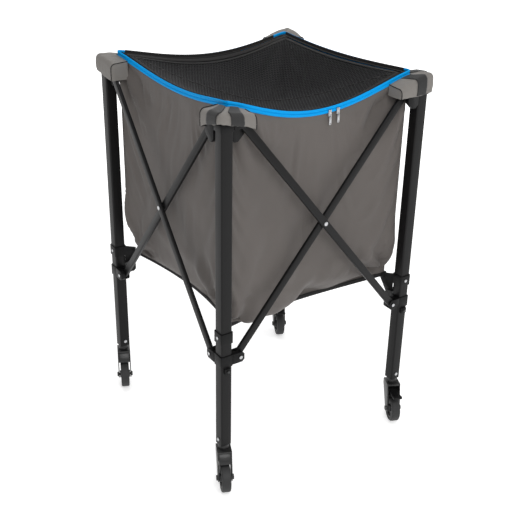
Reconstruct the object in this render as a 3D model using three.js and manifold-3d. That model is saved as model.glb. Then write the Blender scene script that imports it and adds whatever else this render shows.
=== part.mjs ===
// Ball cart: a folding scissor frame on four casters, with a cloth ball bag and a zipped net lid.
// Millimetres, +Z up, origin on the floor under the middle of the cart, -Y is the front.
import * as THREE from "three";
import { mergeVertices } from "three/addons/utils/BufferGeometryUtils.js";
import Module from "manifold-3d";

const wasm = await Module();
wasm.setup();

// Joining gap, depth of a fused seam and how far a cutter runs past
const GAP = 0.3;
const SINK = 1;
const RUN_OUT = 10;
const WELD = 0.0001;

const half = (v) => v / 2;

// Caster wheel
const WHEEL_R = 37.5;
const WHEEL_W = 24;
const TREAD_EDGE = 8;
const TREAD_DROP = 1;
const FLANK_IN = 4;
const FLANK_DEPTH = 6;
const RIM_R = 26.6;
const RIM_W = 22;
const RIM_LIP = 3;
const RIM_SLOPE = 1;
const BOSS_W = 30;
const BOSS_R = 9;
const WEB_W = 12;
const AXLE_R = 4;
const AXLE_HOLE_R = 4.3;
const AXLE_HEAD_R = 7;
const AXLE_HEAD = 4;
const TRAIL = 31;
const CASTER_TURN = -24.5;

// Caster fork
const FORK_CLEAR = 0.9;
const FORK_IN = half(BOSS_W) + FORK_CLEAR;
const FORK_PLATE = 2.6;
const FORK_RISE = 36;
const FORK_TOP = WHEEL_R + WHEEL_R + FORK_RISE;
const FORK_AHEAD = 26;
const FORK_BEHIND = 14;
const FORK_CHEEK = 14;
const HOOD_AHEAD = 13;
const HOOD_CLEAR = 5;
const CROWN_THICK = 5;
const PLATE_FOOT_R = 11;
const PLATE_FOOT_SHARES = [[0.9, -0.6], [0.2, -0.95], [-0.65, -0.77], [-1, 0.05], [-0.8, 0.78]];
const RACE_R = 14;
const RACE_HEIGHT = 11.9;
const STEM_R = 5;
const STEM_REACH = 31.8;
const PEDAL_Y = 22;
const PEDAL_RISE = 14;
const PEDAL_Z = WHEEL_R + WHEEL_R + PEDAL_RISE;
const PEDAL_R = 4;
const PEDAL_LENGTH = 46;
const PEDAL_WIDTH = 25;
const PEDAL_THICK = 3;
const PEDAL_LIP = 8;
const PEDAL_LIP_HIGH = 6;

// Rivets and pivot pins
const PIN_R = 3;
const PIN_PLAY = 0.4;
const PIN_HOLE_R = PIN_R + PIN_PLAY;
const RIVET_R = 5.5;
const RIVET_H = 1.6;

// Leg tube
const LEG_SIDE = 29.6;
const LEG_WALL = 1.4;
const LEG_ROUND = 3.4;
const LEG_LENGTH = 854.3;
const LEG_LOW = FORK_TOP + RACE_HEIGHT + GAP;
const LEG_TOP = LEG_LOW + LEG_LENGTH;
const LEG_PLUG = 38;
const STEM_TOP = LEG_LOW + STEM_REACH;
const STEM_HOLE_R = 5.4;
const FOOT_RIVET = 15;

// Scissor bars
const HALF_SPAN = 280;
const PIVOT_IN = 38;
const BAR_WIDTH = 19;
const BAR_THICK = 9;
const BAR_PLAY = 1;

// Ears that hold the bar ends
const SLOT_WIDTH = BAR_THICK + BAR_PLAY;
const BAR_OFFSET = half(SLOT_WIDTH);
const EAR_REACH = 11;
const EAR_OUT = PIVOT_IN + EAR_REACH;
const EAR_HALF_H = 13.5;
const EAR_CHEEK = 2.6;
const EAR_TIP = 6;
const LOBE_DROP = 46;
const LOBE_TAPER = 8;
const EAR_BASE = 2.8;
const SLOT_END = 3.5;
const SLOT_IN = PIVOT_IN - half(BAR_WIDTH) - SLOT_END;

// Collars on the leg
const COLLAR_BORE = LEG_SIDE + GAP + GAP;
const COLLAR_WALL = 2;
const COLLAR_SIDE = COLLAR_BORE + COLLAR_WALL + COLLAR_WALL;
const COLLAR_ROUND = 4;
const EAR_FACE = half(COLLAR_SIDE);
const EAR_IN = EAR_FACE - SINK;
const BAR_SHIFT = EAR_FACE - EAR_CHEEK - SLOT_WIDTH;
const EAR_HALF_T = SLOT_WIDTH - BAR_SHIFT + EAR_CHEEK;
const HEAD_COVER = 7.5;
const HEAD_TOP = LEG_TOP + HEAD_COVER;
const HEAD_HEIGHT = 44;
const HEAD_LOW = HEAD_TOP - HEAD_HEIGHT;
const HEAD_EAR_LIFT = 2.5;
const PIVOT_TOP = HEAD_LOW + EAR_HALF_H + HEAD_EAR_LIFT;
const HEAD_POST_SIDE = 20;
const BRACKET_LOW = 418.5;
const BRACKET_HEIGHT = 29;
const BRACKET_TOP = BRACKET_LOW + BRACKET_HEIGHT;
const SLIDER_DROP = 33.5;
const SLIDER_HEIGHT = 30;
const SLIDER_TOP = BRACKET_LOW - SLIDER_DROP;
const SLIDER_LOW = SLIDER_TOP - SLIDER_HEIGHT;
const SLIDER_EAR_DROP = 0.5;
const PIVOT_LOW = SLIDER_TOP - EAR_HALF_H - SLIDER_EAR_DROP;

// Snap button on the slider
const BUTTON_HANG = 10;
const BUTTON_Z = SLIDER_LOW - BUTTON_HANG;
const BUTTON_R = 4;
const BUTTON_CLEAR = 0.35;
const BUTTON_BOSS = 15;
const BUTTON_BOSS_PROUD = 5;
const BUTTON_BOSS_OUT = half(COLLAR_SIDE) + BUTTON_BOSS_PROUD;
const BUTTON_THROW = 3;
const BUTTON_PROUD = BUTTON_BOSS_OUT + BUTTON_THROW;
const BUTTON_FLOOR = 2;
const BUTTON_POCKET = half(COLLAR_SIDE) - BUTTON_FLOOR;
const BUTTON_REST = 0.4;
const BUTTON_BACK = BUTTON_POCKET + BUTTON_THROW + BUTTON_REST;

// Corner cap
const CAP_ARM = 80;
const CAP_OUT = 24;
const CAP_IN = 22;
const CAP_EDGE = 17.6;
const CAP_WALL = 2;
const CAP_PLAY = 0.4;
const CAP_RISE = 13;
const CAP_DEPTH = 54;
const CAP_TOP = HEAD_TOP + CAP_RISE;
const CAP_LOW = CAP_TOP - CAP_DEPTH;
const CAP_BEVEL = 5;
const CAP_CORNER = 9;
const HEAD_POST_TOP = CAP_TOP - CAP_WALL - CAP_PLAY;

// Bag arm on the fixed bracket
const BAG_FOOT_SET = 39;
const ARM_CLEAR = 3.85;
const ARM_START = 20.6;
const ARM_END = Math.hypot(BAG_FOOT_SET, BAG_FOOT_SET) - ARM_CLEAR;
const ARM_THICK = 6;
const ARM_SET = 2.5;
const ARM_LOW = BRACKET_LOW + ARM_SET;
const ARM_TOP = BRACKET_TOP - ARM_SET;
const GUSSET_DROP = 26;

// Bag
const CLOTH = 2.4;
const BAG_HALF = HALF_SPAN - CAP_EDGE - CAP_PLAY;
const BAG_FOOT_HALF = HALF_SPAN - BAG_FOOT_SET;
const BAG_RISE = 9;
const BAG_LOW = ARM_LOW + BAG_RISE;
const BAG_LOW_SAG = 12;
const BAG_DROP = 8;
const BAG_TOP = CAP_TOP - BAG_DROP;
const RIM_DRAW = 25;
const FOOT_DRAW = 42;
const FLANGE = 6;
const FLANGE_CORNER = 4;
const SAG_FRONT = 68;
const SAG_BACK = 32;
const SAG_LEFT = 31;
const SAG_RIGHT = 6;
const WALL_STEPS = 12;
const WALL_ROW_SHARES = [0, 0.045, 0.11, 0.18, 0.28, 0.5, 0.7, 0.85, 1];
const FLANGE_ROW_SHARES = [0.5, 1];
const FOOT_SHARE = 0.28;
const FOOT_RISE_SHARE = 0.235;
const DRAW_SHARE = 0.3;
const MITRE = 0.25;

// Net lid
const LID_GAP = 1.25;
const LID_SAG = 25;
const LID_CELLS = 12;
const LID_THICK = 2;
const STRAND_SHARE = 0.14;
const HEM_SHARE = 0.93;
const HEM_GAP_SHARE = 0.003;
const FLOOR_CELLS = 8;
const FLOOR_SAG = 14;

// Zip pulls
const PULL_PLACE_SHARES = [0.115, 0.205];
const PULL_WIDTH = 6;
const PULL_THICK = 1.6;
const PULL_LENGTH = 24;
const PULL_HOLE_R = 1.4;
const PULL_DROP = 3;
const PULL_LEAN_SHARE = 1.14;
const PULL_CLEAR = 0.9;

// Facets on round things, and part turns
const ROUND_FACETS = 16;
const SMALL_FACETS = 10;
const QUARTER = 90;
const EIGHTH = 45;

const quarterTurns = (n) => (n * Math.PI) / 2;

// Colours taken as even tones
const BLACK_METAL = { color: 0x1d1e20, roughness: 0.42, metalness: 0.55 };
const BLACK_PLASTIC = { color: 0x17181a, roughness: 0.55, metalness: 0 };
const TYRE_GREY = { color: 0x2c2d2f, roughness: 0.7, metalness: 0 };
const HUB_GREY = { color: 0x3a3b3d, roughness: 0.5, metalness: 0 };
const ZINC = { color: 0xb9bcc0, roughness: 0.35, metalness: 0.9 };
const CLOTH_GREY = { color: 0x716b64, roughness: 0.92, metalness: 0 };
const CAP_GREY = { color: 0x857e77, roughness: 0.9, metalness: 0 };
const NET_BLACK = { color: 0x1a1b1c, roughness: 0.85, metalness: 0 };

// Solid from a closed geometry
function solid(geometry) {
  const bare = geometry.clone();
  bare.deleteAttribute("normal");
  bare.deleteAttribute("uv");
  const merged = mergeVertices(bare, WELD);
  return new wasm.Manifold(
    new wasm.Mesh({
      numProp: 3,
      vertProperties: new Float32Array(merged.attributes.position.array),
      triVerts: new Uint32Array(merged.index.array),
    }),
  );
}

// Geometry from a solid
function geometryOf(made) {
  const mesh = made.getMesh();
  const geometry = new THREE.BufferGeometry();
  geometry.setAttribute("position", new THREE.BufferAttribute(mesh.vertProperties, 3));
  geometry.setIndex(new THREE.BufferAttribute(mesh.triVerts, 1));
  geometry.computeVertexNormals();
  return geometry;
}

// Block between two corners
function block(x0, x1, y0, y1, z0, z1) {
  const geometry = new THREE.BoxGeometry(x1 - x0, y1 - y0, z1 - z0);
  geometry.translate(half(x0 + x1), half(y0 + y1), half(z0 + z1));
  return solid(geometry);
}

// Round rod between two heights on Z, moved to x, y
function rodZ(radius, z0, z1, x, y, facets) {
  const geometry = new THREE.CylinderGeometry(radius, radius, z1 - z0, facets);
  geometry.rotateX(quarterTurns(1));
  geometry.translate(x, y, half(z0 + z1));
  return solid(geometry);
}

// Round rod along X
function rodX(radius, x0, x1, y, z, facets) {
  const geometry = new THREE.CylinderGeometry(radius, radius, x1 - x0, facets);
  geometry.rotateZ(quarterTurns(1));
  geometry.translate(half(x0 + x1), y, z);
  return solid(geometry);
}

// Round rod along Y
function rodY(radius, y0, y1, x, z, facets) {
  const geometry = new THREE.CylinderGeometry(radius, radius, y1 - y0, facets);
  geometry.translate(x, half(y0 + y1), z);
  return solid(geometry);
}

// Square outline with rounded corners
function roundedSquare(side, round) {
  const h = half(side);
  const shape = new THREE.Shape();
  shape.moveTo(h - round, -h);
  shape.absarc(h - round, round - h, round, -quarterTurns(1), 0, false);
  shape.absarc(h - round, h - round, round, 0, quarterTurns(1), false);
  shape.absarc(round - h, h - round, round, quarterTurns(1), quarterTurns(2), false);
  shape.absarc(round - h, round - h, round, quarterTurns(2), quarterTurns(3), false);
  return shape;
}

// Square rod with rounded corners between two heights
function squareRod(side, round, z0, z1) {
  const geometry = new THREE.ExtrudeGeometry(roundedSquare(side, round), {
    depth: z1 - z0,
    bevelEnabled: false,
    curveSegments: 2,
  });
  geometry.translate(0, 0, z0);
  return solid(geometry);
}

// Flat outline extruded between two heights
function slabZ(points, z0, z1) {
  const shape = new THREE.Shape(points.map(([x, y]) => new THREE.Vector2(x, y)));
  const geometry = new THREE.ExtrudeGeometry(shape, { depth: z1 - z0, bevelEnabled: false });
  geometry.translate(0, 0, z0);
  return solid(geometry);
}

// Upright outline of X and Z extruded between two places on Y
function slabY(points, y0, y1) {
  const shape = new THREE.Shape(points.map(([x, z]) => new THREE.Vector2(x, z)));
  const geometry = new THREE.ExtrudeGeometry(shape, { depth: y1 - y0, bevelEnabled: false });
  geometry.rotateX(quarterTurns(1));
  geometry.translate(0, y1, 0);
  return solid(geometry);
}

// Same piece with X and Y swapped, faces kept outward
function swapXY(made) {
  return made.mirror([1, -1, 0]);
}

// Ear on the local X side: two cheeks, a web, the pivot pin and its rivet head
function ear(pivotZ, openUp, slotFrom) {
  const z0 = pivotZ - EAR_HALF_H;
  const z1 = pivotZ + EAR_HALF_H;
  const outline = [
    [EAR_IN, z0],
    [EAR_OUT - EAR_TIP, z0],
    [EAR_OUT, z0 + EAR_TIP],
    [EAR_OUT, z1 - EAR_TIP],
    [EAR_OUT - EAR_TIP, z1],
    [EAR_IN, z1],
  ];
  let made = slabY(outline, -EAR_FACE, EAR_HALF_T);
  const slotLow = openUp ? z0 + EAR_BASE : z0 - RUN_OUT;
  const slotHigh = openUp ? z1 + RUN_OUT : z1 - EAR_BASE;
  const slot = block(SLOT_IN, EAR_OUT + RUN_OUT, slotFrom, slotFrom + SLOT_WIDTH, slotLow, slotHigh);
  made = made.subtract(slot);
  made = made.add(rodY(PIN_R, -EAR_FACE, EAR_HALF_T, PIVOT_IN, pivotZ, SMALL_FACETS));
  const face = -EAR_FACE;
  const head = rodY(RIVET_R, face - RIVET_H, face + RIVET_H, PIVOT_IN, pivotZ, SMALL_FACETS);
  return made.add(head);
}

// Lobe that hangs from the web of a head's ear
function lobe(y0, y1) {
  const low = PIVOT_TOP - LOBE_DROP;
  const top = PIVOT_TOP - EAR_HALF_H + SINK;
  const outline = [
    [EAR_IN, top],
    [EAR_IN, low + LOBE_TAPER],
    [EAR_IN + LOBE_TAPER, low],
    [EAR_OUT - LOBE_TAPER - LOBE_TAPER, low],
    [EAR_OUT, low + LOBE_TAPER + LOBE_TAPER],
    [EAR_OUT, top],
  ];
  return slabY(outline, y0, y1);
}

// Hollow square leg with a plugged foot
function legShape() {
  let made = squareRod(LEG_SIDE, LEG_ROUND, LEG_LOW, LEG_TOP);
  const inner = LEG_SIDE - LEG_WALL - LEG_WALL;
  made = made.subtract(squareRod(inner, LEG_ROUND - LEG_WALL, LEG_LOW + LEG_PLUG, LEG_TOP + RUN_OUT));
  const plugTop = LEG_LOW + LEG_PLUG;
  made = made.subtract(rodZ(STEM_HOLE_R, LEG_LOW - RUN_OUT, plugTop + RUN_OUT, 0, 0, ROUND_FACETS));
  const rivetZ = LEG_LOW + FOOT_RIVET;
  const face = half(LEG_SIDE);
  const seat = face - half(RIVET_H);
  made = made.add(rodY(RIVET_R, -face - RIVET_H, -seat, 0, rivetZ, SMALL_FACETS));
  return made.add(rodY(RIVET_R, seat, face + RIVET_H, 0, rivetZ, SMALL_FACETS));
}

// Head fitting: closed sleeve with a post for the cap and two ears open below, each with a hanging lobe
function headShape() {
  let made = squareRod(COLLAR_SIDE, COLLAR_ROUND, HEAD_LOW, HEAD_TOP);
  made = made.add(ear(PIVOT_TOP, false, -SLOT_WIDTH - BAR_SHIFT));
  made = made.add(lobe(-BAR_SHIFT, EAR_HALF_T));
  made = made.add(swapXY(ear(PIVOT_TOP, false, -BAR_SHIFT)));
  made = made.add(swapXY(lobe(-EAR_FACE, -BAR_SHIFT)));
  made = made.add(squareRod(HEAD_POST_SIDE, COLLAR_ROUND, HEAD_TOP - SINK, HEAD_POST_TOP));
  return made.subtract(squareRod(COLLAR_BORE, LEG_ROUND, HEAD_LOW - RUN_OUT, LEG_TOP + GAP));
}

// Slider: sleeve with two ears open above and a tongue below with a pocket for the snap button
function sliderShape(buttonSide) {
  let made = squareRod(COLLAR_SIDE, COLLAR_ROUND, SLIDER_LOW, SLIDER_TOP);
  made = made.add(ear(PIVOT_LOW, true, -BAR_SHIFT));
  made = made.add(swapXY(ear(PIVOT_LOW, true, -SLOT_WIDTH - BAR_SHIFT)));
  const b = half(BUTTON_BOSS);
  let boss = block(-b, b, -EAR_FACE, -half(COLLAR_BORE), BUTTON_Z - b, SLIDER_LOW + SINK);
  boss = boss.add(block(-b, b, -BUTTON_BOSS_OUT, -EAR_IN, BUTTON_Z - b, BUTTON_Z + b));
  const bore = BUTTON_R + BUTTON_CLEAR;
  let pocket = rodY(bore, -BUTTON_BOSS_OUT - RUN_OUT, -BUTTON_POCKET, 0, BUTTON_Z, SMALL_FACETS);
  boss = boss.rotate([0, 0, buttonSide]);
  pocket = pocket.rotate([0, 0, buttonSide]);
  made = made.add(boss).subtract(pocket);
  const boreLow = BUTTON_Z - BUTTON_BOSS - RUN_OUT;
  return made.subtract(squareRod(COLLAR_BORE, LEG_ROUND, boreLow, SLIDER_TOP + RUN_OUT));
}

// Snap button in the slider pocket
function buttonShape(buttonSide) {
  const button = rodY(BUTTON_R, -BUTTON_PROUD, -BUTTON_BACK, 0, BUTTON_Z, SMALL_FACETS);
  return button.rotate([0, 0, buttonSide]);
}

// Fixed bracket: sleeve with a diagonal arm for the bag corner and a gusset below it
function bracketShape() {
  let made = squareRod(COLLAR_SIDE, COLLAR_ROUND, BRACKET_LOW, BRACKET_TOP);
  const t = half(ARM_THICK);
  const outline = [
    [ARM_START, BRACKET_LOW - GUSSET_DROP],
    [ARM_END, ARM_LOW],
    [ARM_END, ARM_TOP],
    [ARM_START, ARM_TOP],
  ];
  let arm = slabY(outline, -t, t);
  const rivetAt = ARM_END - RIVET_R - RIVET_H;
  const rivet = rodY(RIVET_R, -t - RIVET_H, t + RIVET_H, rivetAt, half(ARM_LOW + ARM_TOP), SMALL_FACETS);
  arm = arm.add(rivet);
  made = made.add(arm.rotate([0, 0, EIGHTH]));
  return made.subtract(squareRod(COLLAR_BORE, LEG_ROUND, BRACKET_LOW - RUN_OUT, BRACKET_TOP + RUN_OUT));
}

// Space above the sloping top of a cap's local X arm, where the side's rim sags
function aboveArm(sag, drop) {
  const u = (HALF_SPAN - CAP_ARM) / BAG_HALF;
  const fall = BAG_DROP + sag * (1 - u * u);
  const slope = (Math.atan2(fall, CAP_ARM - CAP_EDGE) * QUARTER) / quarterTurns(1);
  const far = CAP_ARM + CAP_ARM;
  const space = block(0, far, -far, far, 0, far).rotate([0, slope, 0]);
  return space.translate([CAP_EDGE, 0, CAP_TOP - drop]);
}

// Corner cap: a folded cloth pocket over the head fitting, its arms sloping down with the rims
function capShape(sagX, sagY) {
  const o = CAP_OUT - CAP_BEVEL;
  const a = CAP_ARM - CAP_BEVEL;
  const i = CAP_IN - CAP_BEVEL;
  const c = CAP_CORNER;
  const shape = new THREE.Shape();
  shape.moveTo(c - o, -o);
  shape.lineTo(a, -o);
  shape.lineTo(a, i);
  shape.lineTo(i, i);
  shape.lineTo(i, a);
  shape.lineTo(-o, a);
  shape.lineTo(-o, c - o);
  shape.absarc(c - o, c - o, c, quarterTurns(2), quarterTurns(3), false);
  const geometry = new THREE.ExtrudeGeometry(shape, {
    depth: CAP_TOP - CAP_LOW,
    bevelEnabled: true,
    bevelSize: CAP_BEVEL,
    bevelThickness: CAP_BEVEL,
    bevelSegments: 2,
    curveSegments: 4,
  });
  geometry.translate(0, 0, CAP_LOW - CAP_BEVEL);
  let made = solid(geometry);
  const w = CAP_OUT - CAP_WALL;
  const far = CAP_ARM + RUN_OUT;
  const near = CAP_IN + RUN_OUT;
  const room = [
    [c - w, -w],
    [far, -w],
    [far, near],
    [near, near],
    [near, far],
    [-w, far],
    [-w, c - w],
  ];
  made = made.subtract(aboveArm(sagX, 0));
  made = made.subtract(swapXY(aboveArm(sagY, 0)));
  let inside = slabZ(room, CAP_LOW - RUN_OUT - RUN_OUT, CAP_TOP - CAP_WALL);
  inside = inside.subtract(aboveArm(sagX, CAP_WALL));
  inside = inside.subtract(swapXY(aboveArm(sagY, CAP_WALL)));
  made = made.subtract(inside);
  made = made.subtract(block(CAP_EDGE, far, CAP_EDGE, far, CAP_LOW, CAP_TOP + RUN_OUT));
  return made.subtract(block(-far, far, -far, far, CAP_LOW - RUN_OUT - RUN_OUT, CAP_LOW));
}

// Scissor bar: flat oval with three pin holes, flat along X at z 0
function barShape() {
  const length = Math.hypot(HALF_SPAN + HALF_SPAN - PIVOT_IN - PIVOT_IN, PIVOT_TOP - PIVOT_LOW);
  const r = half(BAR_WIDTH);
  const h = half(length);
  const shape = new THREE.Shape();
  shape.moveTo(-h, -r);
  shape.lineTo(h, -r);
  shape.absarc(h, 0, r, -quarterTurns(1), quarterTurns(1), false);
  shape.lineTo(-h, r);
  shape.absarc(-h, 0, r, quarterTurns(1), quarterTurns(3), false);
  for (const x of [-h, 0, h]) {
    const hole = new THREE.Path();
    hole.absarc(x, 0, PIN_HOLE_R, 0, quarterTurns(4), true);
    shape.holes.push(hole);
  }
  const geometry = new THREE.ExtrudeGeometry(shape, {
    depth: BAR_THICK,
    bevelEnabled: false,
    curveSegments: 4,
  });
  geometry.translate(0, 0, -half(BAR_THICK));
  geometry.rotateX(quarterTurns(1));
  return geometryOf(solid(geometry));
}

// Centre rivet through both bars of a side
function centreRivetShape() {
  const reach = BAR_OFFSET + half(BAR_THICK) + GAP;
  let made = rodY(PIN_R, -reach, reach, 0, 0, SMALL_FACETS);
  made = made.add(rodY(RIVET_R, -reach - RIVET_H, -reach, 0, 0, SMALL_FACETS));
  made = made.add(rodY(RIVET_R, reach, reach + RIVET_H, 0, 0, SMALL_FACETS));
  return geometryOf(made);
}

// Fork: stem, race, crown, two cheeks, a hood behind the tyre and the axle
function forkShape() {
  let made = rodZ(STEM_R, FORK_TOP - SINK, STEM_TOP, 0, 0, SMALL_FACETS);
  made = made.add(rodZ(RACE_R, FORK_TOP - SINK, LEG_LOW - GAP, 0, 0, ROUND_FACETS));
  const side = FORK_IN + FORK_PLATE;
  made = made.add(block(-side, side, -FORK_AHEAD, FORK_BEHIND, FORK_TOP - CROWN_THICK, FORK_TOP));
  const outline = new THREE.Shape();
  outline.moveTo(FORK_BEHIND, FORK_TOP);
  outline.lineTo(FORK_BEHIND, FORK_TOP - FORK_CHEEK);
  for (const [y, z] of PLATE_FOOT_SHARES) {
    outline.lineTo(y * PLATE_FOOT_R - TRAIL, z * PLATE_FOOT_R + WHEEL_R);
  }
  outline.lineTo(-FORK_AHEAD, FORK_TOP - CROWN_THICK);
  outline.lineTo(-FORK_AHEAD, FORK_TOP);
  const cheek = (thick, x) => {
    const plate = new THREE.ExtrudeGeometry(outline, { depth: thick, bevelEnabled: false });
    plate.rotateX(quarterTurns(1));
    plate.rotateZ(quarterTurns(1));
    plate.translate(x, 0, 0);
    return solid(plate);
  };
  made = made.add(cheek(FORK_PLATE, -side));
  made = made.add(cheek(FORK_PLATE, FORK_IN));
  let hood = cheek(side + side - SINK - SINK, SINK - side);
  hood = hood.subtract(block(-side, side, -FORK_AHEAD - RUN_OUT, -HOOD_AHEAD, 0, FORK_TOP));
  hood = hood.subtract(rodX(WHEEL_R + HOOD_CLEAR, -side, side, -TRAIL, WHEEL_R, ROUND_FACETS));
  made = made.add(hood);
  made = made.add(rodX(AXLE_R, -side, side, -TRAIL, WHEEL_R, SMALL_FACETS));
  made = made.add(rodX(AXLE_HEAD_R, side - SINK, side + AXLE_HEAD, -TRAIL, WHEEL_R, SMALL_FACETS));
  return made.add(rodX(AXLE_HEAD_R, -side - AXLE_HEAD, SINK - side, -TRAIL, WHEEL_R, SMALL_FACETS));
}

// Ring turned about X from a closed profile of radius and half width
function turned(profile) {
  const points = profile.map(([r, w]) => new THREE.Vector2(r, w));
  points.push(points[0].clone());
  const geometry = new THREE.LatheGeometry(points, ROUND_FACETS);
  geometry.rotateZ(-quarterTurns(1));
  geometry.rotateX(quarterTurns(1));
  return solid(geometry);
}

// Tyre
function tyreShape() {
  const w = half(WHEEL_W);
  const r = RIM_R + GAP;
  return turned([
    [r, -half(RIM_W)],
    [WHEEL_R - FLANK_DEPTH, -w],
    [WHEEL_R - TREAD_DROP, FLANK_IN - w],
    [WHEEL_R, TREAD_EDGE - w],
    [WHEEL_R, w - TREAD_EDGE],
    [WHEEL_R - TREAD_DROP, w - FLANK_IN],
    [WHEEL_R - FLANK_DEPTH, w],
    [r, half(RIM_W)],
  ]);
}

// Wheel core
function coreShape() {
  const w = half(RIM_W);
  const bossFoot = BOSS_R + RIM_SLOPE;
  const lip = RIM_R - RIM_LIP;
  return turned([
    [AXLE_HOLE_R, -half(BOSS_W)],
    [BOSS_R, -half(BOSS_W)],
    [bossFoot, -half(WEB_W)],
    [lip - RIM_SLOPE, -half(WEB_W)],
    [lip, -w],
    [RIM_R, -w],
    [RIM_R, w],
    [lip, w],
    [lip - RIM_SLOPE, half(WEB_W)],
    [bossFoot, half(WEB_W)],
    [BOSS_R, half(BOSS_W)],
    [AXLE_HOLE_R, half(BOSS_W)],
  ]);
}

// Brake pedal: barrel between the plates and a tread over the tyre
function pedalShape() {
  const reach = FORK_IN - GAP;
  let made = rodX(PEDAL_R, -reach, reach, -PEDAL_Y, PEDAL_Z, SMALL_FACETS);
  const w = half(PEDAL_WIDTH);
  const tread = [-PEDAL_Y - PEDAL_LENGTH, -PEDAL_Y];
  made = made.add(block(-w, w, tread[0], tread[1], PEDAL_Z, PEDAL_Z + PEDAL_THICK));
  return made.add(block(-w, w, tread[0], tread[0] + PEDAL_LIP, PEDAL_Z, PEDAL_Z + PEDAL_LIP_HIGH));
}

// Height of the rim along a side, from its sag and its place -1..1
const rimZ = (sag, u) => BAG_TOP - sag * (1 - u * u);

// Distance of a wall row from the middle of the bag
function wallReach(v, u) {
  const foot = Math.min(1, Math.max(0, (FOOT_SHARE - v) / FOOT_RISE_SHARE));
  const top = v > 1 - DRAW_SHARE ? (v - 1 + DRAW_SHARE) / DRAW_SHARE : 0;
  const corner = BAG_HALF - (BAG_HALF - BAG_FOOT_HALF) * foot * foot;
  const drawn = FOOT_DRAW * foot * foot + RIM_DRAW * top;
  return corner - drawn * (1 - u * u);
}

// Inward turned top edge of a wall, wide at the corners
const flangeWidth = (u) => FLANGE + FLANGE_CORNER * u * u * u * u;

// Place from -1 to 1 for a step out of a number of steps
const place = (i, n) => (i + i) / n - 1;

// Adds a four-sided face to a list of corner coordinates
function quad(list, a, b, c, d) {
  list.push(...a, ...b, ...c, ...a, ...c, ...d);
}

// Closed solid between two grids of points
function shell(outer, inner) {
  const list = [];
  const rows = outer.length - 1;
  const cols = outer[0].length - 1;
  for (let j = 0; j < rows; j += 1) {
    for (let i = 0; i < cols; i += 1) {
      quad(list, outer[j][i], outer[j][i + 1], outer[j + 1][i + 1], outer[j + 1][i]);
      quad(list, inner[j][i], inner[j + 1][i], inner[j + 1][i + 1], inner[j][i + 1]);
    }
  }
  for (let i = 0; i < cols; i += 1) {
    quad(list, inner[0][i], inner[0][i + 1], outer[0][i + 1], outer[0][i]);
    quad(list, outer[rows][i], outer[rows][i + 1], inner[rows][i + 1], inner[rows][i]);
  }
  for (let j = 0; j < rows; j += 1) {
    quad(list, outer[j][0], outer[j + 1][0], inner[j + 1][0], inner[j][0]);
    quad(list, inner[j][cols], inner[j + 1][cols], outer[j + 1][cols], outer[j][cols]);
  }
  const geometry = new THREE.BufferGeometry();
  geometry.setAttribute("position", new THREE.BufferAttribute(new Float32Array(list), 3));
  return mergeVertices(geometry, WELD);
}

// Cloth wall on the front side, with its rim sag
function wallShape(sag) {
  const outer = [];
  const inner = [];
  const places = [];
  for (let i = 0; i <= WALL_STEPS; i += 1) {
    places.push(place(i, WALL_STEPS));
  }
  const lowZ = (u) => BAG_LOW - BAG_LOW_SAG * (1 - u * u);
  for (const v of WALL_ROW_SHARES) {
    const zAt = (u) => lowZ(u) + (rimZ(sag, u) - lowZ(u)) * v;
    outer.push(places.map((u) => [u * (wallReach(v, 1) - MITRE), -wallReach(v, u), zAt(u)]));
    const under = v === 1 ? CLOTH : 0;
    inner.push(
      places.map((u) => [u * (wallReach(v, 1) - CLOTH - MITRE), CLOTH - wallReach(v, u), zAt(u) - under]),
    );
  }
  for (const k of FLANGE_ROW_SHARES) {
    const at = (u) => wallReach(1, u) - CLOTH - flangeWidth(u) * k;
    outer.push(places.map((u) => [u * (at(1) - MITRE), -at(u), rimZ(sag, u)]));
    inner.push(places.map((u) => [u * (at(1) - MITRE), -at(u), rimZ(sag, u) - CLOTH]));
  }
  return shell(outer, inner);
}

// Reach of the lid edge from the middle
const lidReach = (u) => wallReach(1, u) - CLOTH - flangeWidth(u) - LID_GAP;

// Point of the lid surface for s, t from -1 to 1
function lidPoint(s, t) {
  const alongT = half(1 + t);
  const alongS = half(1 + s);
  const z1 = rimZ(SAG_FRONT, s) * (1 - alongT) + rimZ(SAG_BACK, s) * alongT;
  const z2 = rimZ(SAG_LEFT, t) * (1 - alongS) + rimZ(SAG_RIGHT, t) * alongS;
  const sag = LID_SAG * (1 - s * s) * (1 - t * t);
  return [s * lidReach(t), t * lidReach(s), z1 + z2 - BAG_TOP - sag - half(CLOTH)];
}

// Point below another
const lower = (p, drop) => [p[0], p[1], p[2] - drop];

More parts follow.
